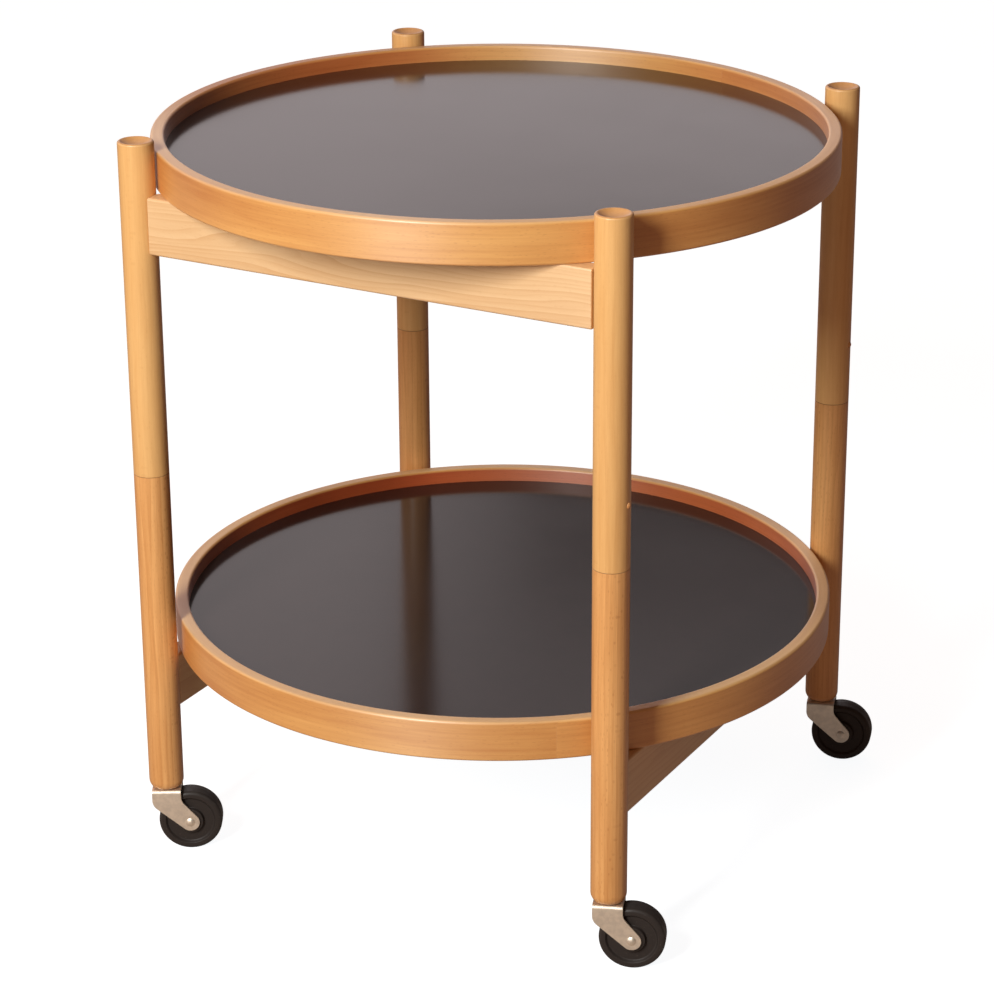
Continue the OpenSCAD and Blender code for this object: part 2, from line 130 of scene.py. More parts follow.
# Where the boards of each kind lay in their trees: distance from the heart, and the first one's direction.
# From one board to the next the direction turns, and the grain starts further along.
HEARTS = {
    "upper": (0.055, 0.4),
    "lower": (0.055, 1.7),
    "pin": (0.02, 0.3),
    "rail": (0.06, 0.75),
    "rim": (0.07, 0.5),
}
HEART_TURN = 2.1
BOARD_STEP = 0.61

# Colours that wear, dust and the cut of the wood bring, and the rims' painted shade and painted highlight
FLECK_TINT = (0.78, 0.64, 0.52, 1.0)
END_GRAIN_TINT = (0.84, 0.74, 0.66, 1.0)
# Painted shade and painted highlight that the rims' painted light tone blends into the wood
PAINTED_SHADE_TINT = (0.70, 0.25, 0.22, 1.0)
PAINTED_HIGHLIGHT_WOOD = (1.0, 0.80, 0.48, 1.0)
PALE_DUST = (0.4, 0.37, 0.35, 1.0)
DARK_DUST = (0.35, 0.32, 0.29, 1.0)
RUBBED_NICKEL = (0.78, 0.72, 0.62, 1.0)
SCUFFED_MOULDING = (0.055, 0.050, 0.046, 1.0)
CORE_COLOURS = ((0.55, 0.37, 0.20), (0.36, 0.22, 0.11))
DOWEL_COLOURS = ((0.70, 0.50, 0.29), (0.55, 0.35, 0.17))

# Colours of the stage: white, its tint in a gloss, and the floor as it is seen, as it glows and as it lights
WHITE = (1.0, 1.0, 1.0, 1.0)
GLOSS_TINT = (1.0, 0.89, 0.90, 1.0)
FLOOR_SEEN = (0.34, 0.35, 0.36, 1.0)
FLOOR_GLOW = (0.965, 0.985, 1.0, 1.0)
FLOOR_BOUNCE = (0.36, 0.27, 0.20, 1.0)

# What the meshes carry as wear: 1 on a rubbed edge, and less than 0 where a joint gathers grime
RUBBED, NEAR_JOINT, AT_JOINT = 1.0, -0.6, -1.0

NOISE_SPREAD = 3.2
SHARP_ANGLE = math.radians(38)

# Share of the cheek's round end that is cut off flat
CHEEK_CUT = 0.015
Z_AXIS = Vector((0, 0, 1))


# ---- what the frame says ----


def box_middle(node):
    """Middle of a solid's box."""
    lowest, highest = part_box(node)
    return (lowest + highest) / 2


def box_size(node):
    """Size of a solid's box, to a tenth of a millimetre."""
    lowest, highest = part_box(node)
    return Vector([round(length, 4) for length in highest - lowest])


def bottom_of(node):
    """Height of a solid's lowest point."""
    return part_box(node)[0].z


def top_of(node):
    """Height of a solid's highest point."""
    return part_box(node)[1].z


def post_place(corner):
    """Point on the floor under a post, which its caster's swivel turns about."""
    x, y, _ = JOINTS[f"{corner}_caster_swivel"]["pos_m"]
    return Vector((x, y, 0))


def caster_place(corner):
    """Matrix of a caster: origin on the floor under the post, X towards the axle, Y along the axle."""
    axle = Vector(JOINTS[f"{corner}_wheel_spin"]["axis"])
    turn = math.atan2(-axle.x, axle.y)
    return Matrix.Translation(post_place(corner)) @ Matrix.Rotation(turn, 4, "Z")


def axle_place(corner):
    """Matrix of an axle: origin at the wheel's centre, Z along the axle."""
    spin = JOINTS[f"{corner}_wheel_spin"]
    upright = Vector(spin["axis"]).to_track_quat("Z", "Y").to_matrix().to_4x4()
    return Matrix.Translation(Vector(spin["pos_m"])) @ upright


# ---- sizes and colours that a user would change ----


def a_length(name, description, default):
    """A length in metres."""
    return FloatProperty(
        name=name,
        description=description,
        default=default,
        min=0.0,
        subtype="DISTANCE",
        unit="LENGTH",
        precision=5,
    )


def a_share(name, description, default):
    """A share from nothing to the whole."""
    return FloatProperty(
        name=name, description=description, default=default, min=0.0, max=1.0, subtype="FACTOR"
    )


def a_colour(name, description, default):
    """A linear colour."""
    return FloatVectorProperty(
        name=name, description=description, default=default, size=3, min=0.0, max=1.0, subtype="COLOR"
    )


def an_angle(name, description, degrees):
    """An angle."""
    return FloatProperty(
        name=name, description=description, default=math.radians(degrees), subtype="ANGLE", unit="ROTATION"
    )


def a_count(name, description, default, lowest):
    """A number of facets."""
    return IntProperty(name=name, description=description, default=default, min=lowest)


class PostSettings(bpy.types.PropertyGroup):
    """Sizes of the four turned posts."""

    diameter: a_length("Diameter", "Diameter of the posts", box_size("front_left_upper_leg").x)
    top_round: a_length("Top rounding", "Rounding of the posts' top edge", 0.0016)
    dish_width: a_length("Dish width", "Width of the hollow in a post's top", 0.022)
    dish_depth: a_length("Dish depth", "Depth of the hollow in a post's top", 0.0032)
    foot_width: a_length("Foot width", "Width of the flat under a post", 0.022)
    foot_round: a_length("Foot rounding", "Rounding round a post's foot", 0.008)
    seam_ease: a_length("Seam easing", "Eased edge of both halves at the seam", 0.00022)
    seam_gap: a_length("Seam gap", "Air between both halves at the seam", 0.00003)
    tenon_width: a_length("Tenon width", "Diameter of the tenon between the halves", 0.016)
    tenon_play: a_length("Tenon play", "Room above the tenon and behind the pins", 0.0003)
    bore_play: a_length("Bore play", "Room between the tenon and its bore", 0.00005)
    tenon_tip: a_length("Tenon tip", "Bevel round the tenon's end", 0.001)
    groove_width: a_length("Groove width", "Diameter of the tenon in its groove", 0.011)
    groove_height: a_length("Groove height", "Height of the tenon's groove", 0.0056)
    socket_width: a_length("Socket width", "Diameter of the hole for the caster's sleeve", 0.0121)
    rail_seat: a_length("Rail seat", "Depth of the flat that a rail's end lies in", 0.0006)
    pin_width: a_length("Pin width", "Diameter of the retaining pins", 0.005)
    pin_head: a_length("Pin head", "Height of the retaining pins' domed heads", 0.0013)
    sectors: a_count("Sectors", "Facets round a post", 96, 24)
    pin_sectors: a_count("Pin sectors", "Facets round a retaining pin", 32, 12)


class RailSettings(bpy.types.PropertyGroup):
    """Sizes of the four rails."""

    rounding: a_length("Rounding", "Rounding of the rails' long edges", 0.002)
    end_rounding: a_length("End rounding", "Rounding of the edges at the rails' ends", 0.001)
    segments: a_count("Segments", "Facets across a rounded edge", 5, 2)


class TraySettings(bpy.types.PropertyGroup):
    """Sizes of the two trays."""

    rim_width: a_length("Rim width", "Thickness of the bent rim", 0.010)
    rounding: a_length("Rounding", "Rounding of the rim's long edges", 0.002)
    groove: a_length("Groove", "Depth that the panel's core is let into the rim", 0.004)
    scarf: a_length("Scarf", "Length of the glued joint between the rim's two ends", 0.045)
    scarf_line: a_length("Scarf line", "Width and depth of the line that the joint leaves", 0.00035)
    bottom_scarf_at: an_angle("Bottom scarf", "Azimuth of the bottom rim's joint", 37.4)
    top_scarf_at: an_angle("Top scarf", "Azimuth of the top rim's joint", 152.0)
    sheet_ease: a_length("Sheet easing", "Eased edge of the laminate", 0.0001)
    sectors: a_count("Sectors", "Facets round a tray", 288, 64)


class CasterSettings(bpy.types.PropertyGroup):
    """Sizes of the casters' forks and wheels."""

    fork_width: a_length("Fork width", "Width of the fork outside its cheeks", 0.0218)
    sheet: a_length("Sheet", "Thickness of the fork's steel", 0.0016)
    bend: a_length("Bend", "Outer radius of the bend from crown to cheek", 0.0026)
    reach_front: a_length("Reach ahead", "Reach of the fork ahead of the swivel", 0.0106)
    reach_rear: a_length("Reach behind", "Reach of the crown behind the swivel", 0.0112)
    front_knee: a_length("Front knee", "Drop from the crown to the front edge's knee", 0.0125)
    rear_knee: a_length("Rear knee", "Drop from the crown to the rear edge's knee", 0.009)
    knee_round: a_length("Knee rounding", "Rounding of both knees", 0.009)
    cheek_end: a_length("Cheek end", "Radius of the cheek round the axle", 0.007)
    edge_break: a_length("Edge break", "Broken edge of the pressed sheet", 0.00025)
    wheel_width: a_length("Wheel width", "Width of the wheel's tread", 0.016)
    hub_width: a_length("Hub width", "Length of the wheel's hub along the axle", 0.018)
    hub: a_length("Hub", "Diameter of the hub", 0.019)
    web_width: a_length("Web width", "Thickness of the web between hub and rim", 0.012)
    web: a_length("Web", "Diameter where the web meets the wheel's rim", 0.035)
    bore: a_length("Bore", "Diameter of the wheel's bore", 0.0051)
    tread_round: a_length("Tread rounding", "Rounding of the tread's corners", 0.0028)
    mould_line: a_length("Mould line", "Height of the mould's line round the tread", 0.0001)
    sectors: a_count("Sectors", "Facets round a wheel", 128, 32)


class FinishSettings(bpy.types.PropertyGroup):
    """Colours and finishes."""

    upper_pale: a_colour("Upper posts, pale", "Pale wood of the upper halves", (0.857, 0.540, 0.213))
    upper_deep: a_colour("Upper posts, deep", "Deep wood of the upper halves", (0.670, 0.344, 0.104))
    lower_pale: a_colour("Lower posts, pale", "Pale wood of the lower halves", (0.846, 0.469, 0.172))
    lower_deep: a_colour("Lower posts, deep", "Deep wood of the lower halves", (0.592, 0.260, 0.071))
    rail_pale: a_colour("Rails, pale", "Pale wood of the rails", (0.819, 0.584, 0.322))
    rail_deep: a_colour("Rails, deep", "Deep wood of the rails", (0.653, 0.390, 0.173))
    rim_pale: a_colour("Rims, pale", "Pale wood of the rims", (0.795, 0.448, 0.138))
    rim_deep: a_colour("Rims, deep", "Deep wood of the rims", (0.548, 0.224, 0.049))
    ring_pitch: a_length("Growth rings", "Distance from one growth ring to the next", 0.0027)
    wood_gloss: a_share("Wood roughness", "Roughness of the oiled wood", 0.55)
    wood_sheen: a_share("Wood sheen", "How far the wood's sheen spreads across its fibres", 0.8)
    oil_coat: a_share("Oil coat", "Weight of the thin coat of oil on the wood", 0.8)
    oil_gloss: a_share("Oil roughness", "Roughness of the coat of oil", 0.36)
    laminate: a_colour("Laminate", "Colour of the trays' laminate", (0.022, 0.0155, 0.0150))
    laminate_gloss: a_share("Laminate roughness", "Roughness of the laminate", 0.13)
    nickel: a_colour("Nickel", "Colour of the nickel-plated steel", (0.93, 0.83, 0.69))
    nickel_gloss: a_share("Nickel roughness", "Roughness of the nickel plating", 0.50)
    wheel: a_colour("Wheels", "Colour of the wheels", (0.030, 0.0250, 0.0228))
    wheel_gloss: a_share("Wheel roughness", "Roughness of the wheels", 0.36)


class StageSettings(bpy.types.PropertyGroup):
    """Camera, lamp and floor."""

    azimuth: an_angle("Azimuth", "Camera's direction, 0 looks along +Y", 28.1125)
    elevation: an_angle("Elevation", "Camera's height above the horizon", 21.3143)
    distance: a_length("Distance", "Distance from the camera to the point it looks at", 2.37025)
    aim: FloatVectorProperty(
        name="Aim",
        description="Point that the camera looks at",
        default=(0.02988, 0.01596, 0.27294),
        subtype="XYZ",
        unit="LENGTH",
    )
    lens: FloatProperty(
        name="Lens", description="Focal length in millimetres", default=113.18, min=1.0, unit="CAMERA"
    )
    shift: FloatVectorProperty(
        name="Shift", description="Shift of the picture in its frame", default=(-0.05025, -0.02206), size=2
    )
    key_power: FloatProperty(
        name="Key lamp", description="Power of the key lamp", default=52.0, min=0.0, unit="POWER"
    )
    key_colour: a_colour("Key colour", "Colour of the key lamp", (1.0, 0.98, 0.95))
    key_azimuth: an_angle("Key azimuth", "Key lamp's direction, as the camera's", -1.0)
    key_elevation: an_angle("Key elevation", "Key lamp's height above the horizon", 28.5)
    key_distance: a_length("Key distance", "Distance from the key lamp to the table's middle", 2.4)
    key_width: a_length("Key width", "Width of the key lamp", 0.45)
    key_height: a_length("Key height", "Height of the key lamp", 0.90)
    ambient: a_share("Ambient", "Light that comes from all round", 0.29)
    ambient_colour: a_colour("Ambient colour", "Colour of that light", (1.0, 0.50, 0.28))
    floor_gloss: a_share("Floor in glosses", "How white the floor looks in a gloss", 0.12)
    floor_reach: a_length("Floor reach", "How far the floor reaches from the table", 30.0)


class SideTableSettings(bpy.types.PropertyGroup):
    """All settings of the side table."""

    posts: PointerProperty(type=PostSettings, name="Posts", description="Sizes of the posts")
    rails: PointerProperty(type=RailSettings, name="Rails", description="Sizes of the rails")
    trays: PointerProperty(type=TraySettings, name="Trays", description="Sizes of the trays")
    casters: PointerProperty(type=CasterSettings, name="Casters", description="Sizes of the casters")
    finishes: PointerProperty(type=FinishSettings, name="Finishes", description="Colours and finishes")
    stage: PointerProperty(type=StageSettings, name="Stage", description="Camera, lamp and floor")


# ---- outlines: (x or radius, height, wear) points ----


def arc(centre, radius, start, stop, steps):
    """Points of an arc between two angles in degrees, most worn half way round."""
    points = []
    for step in range(steps + 1):
        share = step / steps
        angle = math.radians(start + (stop - start) * share)
        x = centre[0] + radius * math.cos(angle)
        y = centre[1] + radius * math.sin(angle)
        points.append((x, y, RUBBED * math.sin(math.pi * share)))
    return points


def eased_corner(before, corner, after, radius, steps=5):
    """Points that round a corner off, most worn half way round."""
    here = Vector(corner)
    back = (Vector(before) - here).normalized()
    ahead = (Vector(after) - here).normalized()
    half = back.angle(ahead) / 2
    centre = here + (back + ahead).normalized() * radius / math.sin(half)
    first = here + back * radius / math.tan(half) - centre
    last = here + ahead * radius / math.tan(half) - centre
    start = math.degrees(math.atan2(first.y, first.x))
    sweep = (math.degrees(math.atan2(last.y, last.x)) - start + 180) % 360 - 180
    return arc(centre, radius, start, start + sweep, steps)


def eased(corners):
    """Outline through corners written (x, y, rounding)."""
    outline = []
    for index, (x, y, rounding) in enumerate(corners):
        if rounding:
            before = corners[index - 1][:2]
            after = corners[(index + 1) % len(corners)][:2]
            outline += eased_corner(before, (x, y), after, rounding)
        else:
            outline.append((x, y, 0.0))
    return outline


# ---- meshes ----


def turned(outline, angles, closed=False):
    """Solid turned about Z from an outline, which starts and ends on the axis unless it is closed."""
    shape = bmesh.new()
    wear_layer = shape.verts.layers.float.new(WEAR)
    rings = []
    for radius, height, wear in outline:
        if radius == 0:
            ring = [shape.verts.new((0, 0, height))] * len(angles)
        else:
            ring = [shape.verts.new((radius * math.cos(a), radius * math.sin(a), height)) for a in angles]
        for vert in ring:
            vert[wear_layer] = wear
        rings.append(ring)
    for lower, upper in zip(rings, rings[1:] + rings[: int(closed)]):
        for here in range(len(angles)):
            ahead = (here + 1) % len(angles)
            around = dict.fromkeys((lower[here], lower[ahead], upper[ahead], upper[here]))
            if len(around) > 2:
                shape.faces.new(tuple(around))
    bmesh.ops.recalc_face_normals(shape, faces=shape.faces)
    return shape


def even_angles(sectors):
    """Angles that share a full turn evenly."""
    return [math.tau * sector / sectors for sector in range(sectors)]


def flatted_angles(sectors, direction, half_angle):
    """Even angles, with one more at each side of a flat that faces a direction."""
    extra = [(direction + side * half_angle) % math.tau for side in (-1, 1)]
    return sorted(even_angles(sectors) + extra)


def cut_flat(shape, direction, depth, bottom, top):
    """Presses a turned solid flat where a rail's end lies in it, between two heights that have rings."""
    outward = Vector((math.cos(direction), math.sin(direction), 0))
    slack = 1e-7
    for vert in shape.verts:
        over = vert.co.dot(outward) - depth
        if over > 0 and bottom + slack < vert.co.z < top - slack:
            vert.co -= outward * over


def bevel(shape, edges, offset, segments):
    """Rounds edges off, and returns what the operation made."""
    return bmesh.ops.bevel(
        shape,
        geom=edges,
        offset=offset,
        segments=segments,
        profile=0.5,
        affect="EDGES",
        clamp_overlap=True,
    )


def move(shape, offset):
    """Moves a whole shape."""
    bmesh.ops.translate(shape, vec=offset, verts=shape.verts)


def transform(shape, matrix):
    """Carries a whole shape by a matrix."""
    bmesh.ops.transform(shape, matrix=matrix, verts=shape.verts)


def eased_bar(size, axis, rounding, end_rounding, segments):
    """Bar along an axis with rounded edges, which are finer round its ends."""
    shape = bmesh.new()
    bmesh.ops.create_cube(shape, size=1.0)
    bmesh.ops.scale(shape, vec=size, verts=shape.verts)

    def runs_along(edge):
        start, end = edge.verts
        return abs(end.co[axis] - start.co[axis]) > size[axis] / 2

    bevel(shape, [edge for edge in shape.edges if runs_along(edge)], rounding, segments)
    square_on = 0.9
    ends = [face for face in shape.faces if abs(face.normal[axis]) > square_on]
    end_edges = dict.fromkeys(edge for face in ends for edge in face.edges)
    bevel(shape, list(end_edges), end_rounding, segments)
    wear_layer = shape.verts.layers.float.new(WEAR)
    half = size / 2
    reach = [end_rounding if k == axis else rounding for k in range(3)]
    half_way = math.sin(math.radians(45))
    for vert in shape.verts:
        into = sorted((abs(vert.co[k]) - half[k] + reach[k]) / reach[k] for k in range(3))
        vert[wear_layer] = RUBBED * min(1.0, max(0.0, into[1] / half_way))
    return shape


def straight_grain(shape, axis, origin, offset):
    """Stores each corner's place in the board it was cut from: along the grain, then twice across it."""
    grain_layer = shape.loops.layers.float_vector.new(GRAIN)
    end_layer = shape.loops.layers.float.new(END_GRAIN)
    for face in shape.faces:
        end = abs(face.normal[axis])
        for loop in face.loops:
            place = loop.vert.co - origin
            board = Vector((place[axis], place[(axis + 1) % 3], place[(axis + 2) % 3]))
            loop[grain_layer] = board + offset
            loop[end_layer] = end


def scarf_lean(sizes, radius, distance):
    """How far round the slanted scarf of a rim has got, at a distance from the tray's middle."""
    return sizes.scarf / radius * (radius - distance) / sizes.rim_width


def bent_grain(shape, sizes, radius, seam, offset):
    """Stores each corner's place in the strip that was bent into a rim, from its scarf round to its scarf."""
    grain_layer = shape.loops.layers.float_vector.new(GRAIN)
    end_layer = shape.loops.layers.float.new(END_GRAIN)

    def angle_from_seam(point):
        lean = scarf_lean(sizes, radius, math.hypot(point.x, point.y))
        return (math.atan2(point.y, point.x) - seam - lean) % math.tau

    for face in shape.faces:
        middle = angle_from_seam(face.calc_center_median())
        for loop in face.loops:
            place = loop.vert.co
            angle = angle_from_seam(place)
            angle += math.tau * round((middle - angle) / math.tau)
            across = math.hypot(place.x, place.y) - radius
            loop[grain_layer] = Vector((angle * radius, across, place.z)) + offset
            loop[end_layer] = 0.0


def add_piece(name, shape, node, material):
    """Turns a shape into a piece that stands for a solid, rides with its body and has a finish."""
    mesh = bpy.data.meshes.new(name)
    shape.to_mesh(mesh)
    shape.free()
    mesh.shade_smooth()
    mesh.set_sharp_from_angle(angle=SHARP_ANGLE)
    mesh.materials.append(material)
    piece = bpy.data.objects.new(name, mesh)
    bpy.context.scene.collection.objects.link(piece)
    even = piece.modifiers.new("Even flats", "WEIGHTED_NORMAL")
    even.keep_sharp = True
    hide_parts(node)
    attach(piece, BODY_OF[node])


def refinish(node, material):
    """Gives a solid that stays as it is its finish."""
    solid = frame["nodes"][node]
    solid.data.materials.clear()
    solid.data.materials.append(material)


# ---- shader wiring ----


class Wires:
    """Short calls that add a node to a tree, feed its inputs and return one of its outputs."""

    def __init__(self, tree):
        self.tree = tree

    def feed(self, sockets, values):
        """Links an output to each input, or sets the input's own value."""
        for key, value in values.items():
            if isinstance(value, bpy.types.NodeSocket):
                self.tree.links.new(value, sockets[key])
            else:
                sockets[key].default_value = value

    def node(self, kind, inputs=None, **settings):
        """Adds a node and returns its outputs."""
        node = self.tree.nodes.new(kind)
        for name, value in settings.items():
            setattr(node, name, value)
        self.feed(node.inputs, inputs or {})
        return node.outputs

    def add(self, kind, inputs=None, output=0, **settings):
        """Adds a node and returns one of its outputs."""
        return self.node(kind, inputs, **settings)[output]

    def math(self, operation, *values, clamp=False):
        """Adds a Math node."""
        return self.add("ShaderNodeMath", dict(enumerate(values)), operation=operation, use_clamp=clamp)

    def chain(self, operation, values, clamp):
        """Carries numbers through one operation, from the first to the last."""
        result, *others = values
        for left, value in zip(range(len(others), 0, -1), others):
            result = self.math(operation, result, value, clamp=clamp and left == 1)
        return result

    def plus(self, *values, clamp=False):
        """Adds numbers up."""
        return self.chain("ADD", values, clamp)

    def minus(self, *values, clamp=False):
        """Takes numbers from the first one."""
        return self.chain("SUBTRACT", values, clamp)

    def times(self, *values, clamp=False):
        """Multiplies numbers."""
        return self.chain("MULTIPLY", values, clamp)

    def vector(self, operation, *values, output=0):
        """Adds a Vector Math node."""
        return self.add("ShaderNodeVectorMath", dict(enumerate(values)), output, operation=operation)

    def stretched(self, vector, *factors):
        """Scales a vector's three parts, each by its own factor."""
        return self.vector("MULTIPLY", vector, factors)

    def scaled(self, vector, factor):
        """Scales a vector by a number."""
        return self.add("ShaderNodeVectorMath", {0: vector, "Scale": factor}, operation="SCALE")

    def noise(self, vector, detail=2.0, roughness=0.5, output="Fac"):
        """Noise with features one unit across."""
        inputs = {"Vector": vector, "Scale": 1.0, "Detail": detail, "Roughness": roughness}
        return self.add("ShaderNodeTexNoise", inputs, output)

    def drawn_out(self, board, along, across, detail=2.0, roughness=0.5):
        """Noise of about -1 to 1 on a board, with so many features a metre along the grain and across it."""
        noise = self.noise(self.stretched(board, along, across, across), detail, roughness)
        return self.times(self.minus(noise, 0.5), NOISE_SPREAD)

    def range(self, value, low, high, to_low=0.0, to_high=1.0):
        """Carries a value from one range to another, smoothly and without leaving it."""
        inputs = {"Value": value, "From Min": low, "From Max": high, "To Min": to_low, "To Max": to_high}
        return self.add("ShaderNodeMapRange", inputs, interpolation_type="SMOOTHSTEP")

    def blend(self, share, first, second, mode="MIX"):
        """Blends two colours."""
        inputs = {0: share, 6: first, 7: second}
        return self.add("ShaderNodeMix", inputs, 2, data_type="RGBA", blend_type=mode)

    def tinted(self, share, colour, tint):
        """Multiplies a colour by a tint, by a share."""
        return self.blend(share, colour, tint, "MULTIPLY")

    def group(self, make, inputs):
        """Places a node group, made the first time that it is asked for, and returns its outputs."""
        name = make.__doc__.split(":")[0]
        if name not in bpy.data.node_groups:
            make(name)
        return self.node("ShaderNodeGroup", inputs, node_tree=bpy.data.node_groups[name])

    def carried(self, name, output="Fac"):
        """Reads a value that the mesh carries."""
        return self.add("ShaderNodeAttribute", None, output, attribute_name=name)

    def place(self):
        """Place on the object, in metres."""
        return self.add("ShaderNodeTexCoord", None, "Object")


def start_group(name, inputs, outputs):
    """Makes a shader node group and returns its wires, what it is given and what it hands out."""
    tree = bpy.data.node_groups.new(name, "ShaderNodeTree")
    for sockets, in_out in ((inputs, "INPUT"), (outputs, "OUTPUT")):
        for label, kind in sockets.items():
            tree.interface.new_socket(name=label, in_out=in_out, socket_type=f"NodeSocket{kind}")
    given = tree.nodes.new("NodeGroupInput").outputs
    wanted = tree.nodes.new("NodeGroupOutput").inputs
    return Wires(tree), given, wanted


def beech_figure(name):
    """Beech figure: growth rings, fibres, pores and ray flecks of a beech board."""
    wires, given, wanted = start_group(
        name,
        {
            "Board": "Vector",
            "Pale": "Color",
            "Deep": "Color",
            **dict.fromkeys(("Ring pitch", "End grain", *FIGURE_PARTS), "Float"),
        },
        {"Colour": "Color", "Gloss": "Float", "Height": "Float"},
    )
    board, deep = given["Board"], given["Deep"]

    # The grain wanders a little, so rings and fibres drift together
    drift = wires.noise(wires.stretched(board, 5.0, 22.0, 22.0), output="Color")
    sway = wires.scaled(wires.vector("SUBTRACT", drift, (0.5, 0.5, 0.5)), given["Sway"])
    wandered = wires.vector("ADD", board, wires.stretched(sway, 0.0, 1.0, 1.0))
    along, across, up = wires.node("ShaderNodeSeparateXYZ", {0: wandered})

    # Rings about the tree's heart, each a little paler or deeper than the next
    heart = wires.math("SQRT", wires.plus(wires.math("POWER", across, 2.0), wires.math("POWER", up, 2.0)))
    uneven = wires.times(wires.drawn_out(board, 2.0, 80.0), 0.7)
    rings = wires.plus(wires.math("DIVIDE", heart, given["Ring pitch"]), uneven)
    late_wood = wires.times(wires.math("POWER", wires.math("FRACT", rings), 2.5), 1.1)
    number = wires.math("FLOOR", rings)
    ring_tone = wires.times(wires.add("ShaderNodeTexWhiteNoise", {"W": number}, noise_dimensions="1D"), 0.7)
    mean_ring = 0.66

    streaks = wires.drawn_out(wandered, 11.0, 330.0, detail=3.0, roughness=0.6)
    fibres = wires.drawn_out(wandered, 60.0, 1500.0, roughness=0.6)
    clouds = wires.drawn_out(wandered, 7.0, 38.0)

    # Rays are thin sheets that run out from the heart: dashes on one face, flakes on the next
    around = wires.times(wires.math("ARCTAN2", up, across), 0.06)
    ray_place = wires.add("ShaderNodeCombineXYZ", {0: along, 1: around, 2: heart})
    ray_cells = wires.stretched(ray_place, 260.0, 760.0, 120.0)
    cells = wires.node("ShaderNodeTexVoronoi", {"Vector": ray_cells, "Scale": 1.0})
    from_ray = wires.stretched(wires.vector("SUBTRACT", ray_cells, cells["Position"]), 2.4, 6.0, 2.0)
    ray = wires.range(wires.vector("LENGTH", from_ray, output="Value"), 0.5, 1.1, 1.0, 0.0)
    ray_tone = wires.range(wires.add("ShaderNodeSeparateColor", {0: cells["Color"]}), 0.2, 0.9)
    flecks = wires.times(ray, ray_tone, given["Flecks"], clamp=True)

    mean_depth = 0.45
    depth = wires.plus(
        wires.times(wires.minus(wires.plus(late_wood, ring_tone), mean_ring), given["Rings"]),
        wires.times(streaks, given["Streaks"]),
        wires.times(fibres, given["Streaks"], 0.5),
        wires.times(clouds, given["Clouds"]),
        mean_depth,
        clamp=True,
    )
    wood = wires.blend(depth, given["Pale"], deep)
    wood = wires.blend(flecks, wood, wires.tinted(1.0, deep, FLECK_TINT))
    wood = wires.tinted(wires.range(given["End grain"], 0.35, 0.9), wood, END_GRAIN_TINT)
    gloss = wires.plus(wires.times(streaks, 0.05), wires.times(clouds, 0.04))
    pores = wires.plus(wires.times(fibres, 0.22), wires.times(streaks, 0.12))
    height = wires.minus(pores, wires.times(flecks, 0.35))
    wires.feed(wanted, {"Colour": wood, "Gloss": gloss, "Height": height})


def rubbed_edges(name):
    """Rubbed edges: where an edge is rubbed and a joint gathers grime, in patches."""
    wires, given, wanted = start_group(
        name,
        {"Place": "Vector", "Edge": "Float", "Patch size": "Float"},
        {"Rubbed": "Float", "Grime": "Float"},
    )
    patches = wires.math("DIVIDE", 1.0, given["Patch size"])
    noise = wires.noise(wires.scaled(given["Place"], patches), detail=3.0)
    edge = wires.range(given["Edge"], 0.35, 1.0)
    joint = wires.range(given["Edge"], -1.0, -0.2, 1.0, 0.0)
    rubbed = wires.times(edge, wires.range(noise, 0.35, 0.7, 0.25, 1.0), clamp=True)
    grime = wires.times(joint, wires.range(noise, 0.3, 0.7, 0.55, 1.0), clamp=True)
    wires.feed(wanted, {"Rubbed": rubbed, "Grime": grime})


def handling_marks(name):
    """Handling marks: soft smudges, fine wiping lines and specks of dust on a smooth surface."""
    wires, given, wanted = start_group(
        name, {"Place": "Vector"}, {"Smudge": "Float", "Wiping": "Float", "Specks": "Float"}
    )
    place = given["Place"]
    smudge = wires.noise(wires.scaled(place, 9.0), detail=3.0, roughness=0.6)
    wiped = {"Vector": place, "Angle": math.radians(27)}
    leaning = wires.add("ShaderNodeVectorRotate", wiped, rotation_type="Z_AXIS")
    lines = wires.noise(wires.stretched(leaning, 14.0, 520.0, 520.0))
    dots = wires.add("ShaderNodeTexVoronoi", {"Vector": place, "Scale": 260.0}, "Distance")
    marks = {
        "Smudge": wires.range(smudge, 0.3, 0.75),
        "Wiping": wires.times(wires.range(lines, 0.56, 0.72), smudge),
        "Specks": wires.range(dots, 0.05, 0.11, 1.0, 0.0),
    }
    wires.feed(wanted, marks)


# ---- finishes ----


def finish(name, wire, *values):
    """Material that is made, and wired by a function, the first time that a piece asks for it."""
    if name in bpy.data.materials:
        return bpy.data.materials[name]
    material = bpy.data.materials.new(name)
    material.use_nodes = True
    wire(Wires(material.node_tree), material.node_tree.nodes["Principled BSDF"].inputs, *values)
    return material


def looks():
    """The panel's colours and finishes."""
    return bpy.context.scene.side_table.finishes


def opaque(colour):
    """A colour with full cover."""
    return (*colour, 1.0)


def bumpy(wires, height, strength, depth):
    """Normal of a surface whose fine detail is raised and sunk."""
    return wires.add("ShaderNodeBump", {"Height": height, "Strength": strength, "Distance": depth})


def mottled(wires, colour, features, detail, roughness, spread):
    """A colour that goes a little up and down in small features."""
    noise = wires.noise(wires.scaled(wires.place(), features), detail, roughness)
    darker, paler = (opaque(Vector(colour) * (1 + change)) for change in spread)
    return wires.blend(wires.range(noise, 0.3, 0.7), darker, paler)


def figured(wires, board, colours, ring_pitch, strengths, end_grain):
    """Outputs of the beech figure on a board."""
    pale, deep = colours
    inputs = {"Board": board, "Pale": opaque(pale), "Deep": opaque(deep), "Ring pitch": ring_pitch}
    return wires.group(beech_figure, {**inputs, "End grain": end_grain, **dict(zip(FIGURE_PARTS, strengths))})


def worn(wires, place, patch_size):
    """Outputs of the rubbed edges."""
    inputs = {"Place": place, "Edge": wires.carried(WEAR), "Patch size": patch_size}
    return wires.group(rubbed_edges, inputs)


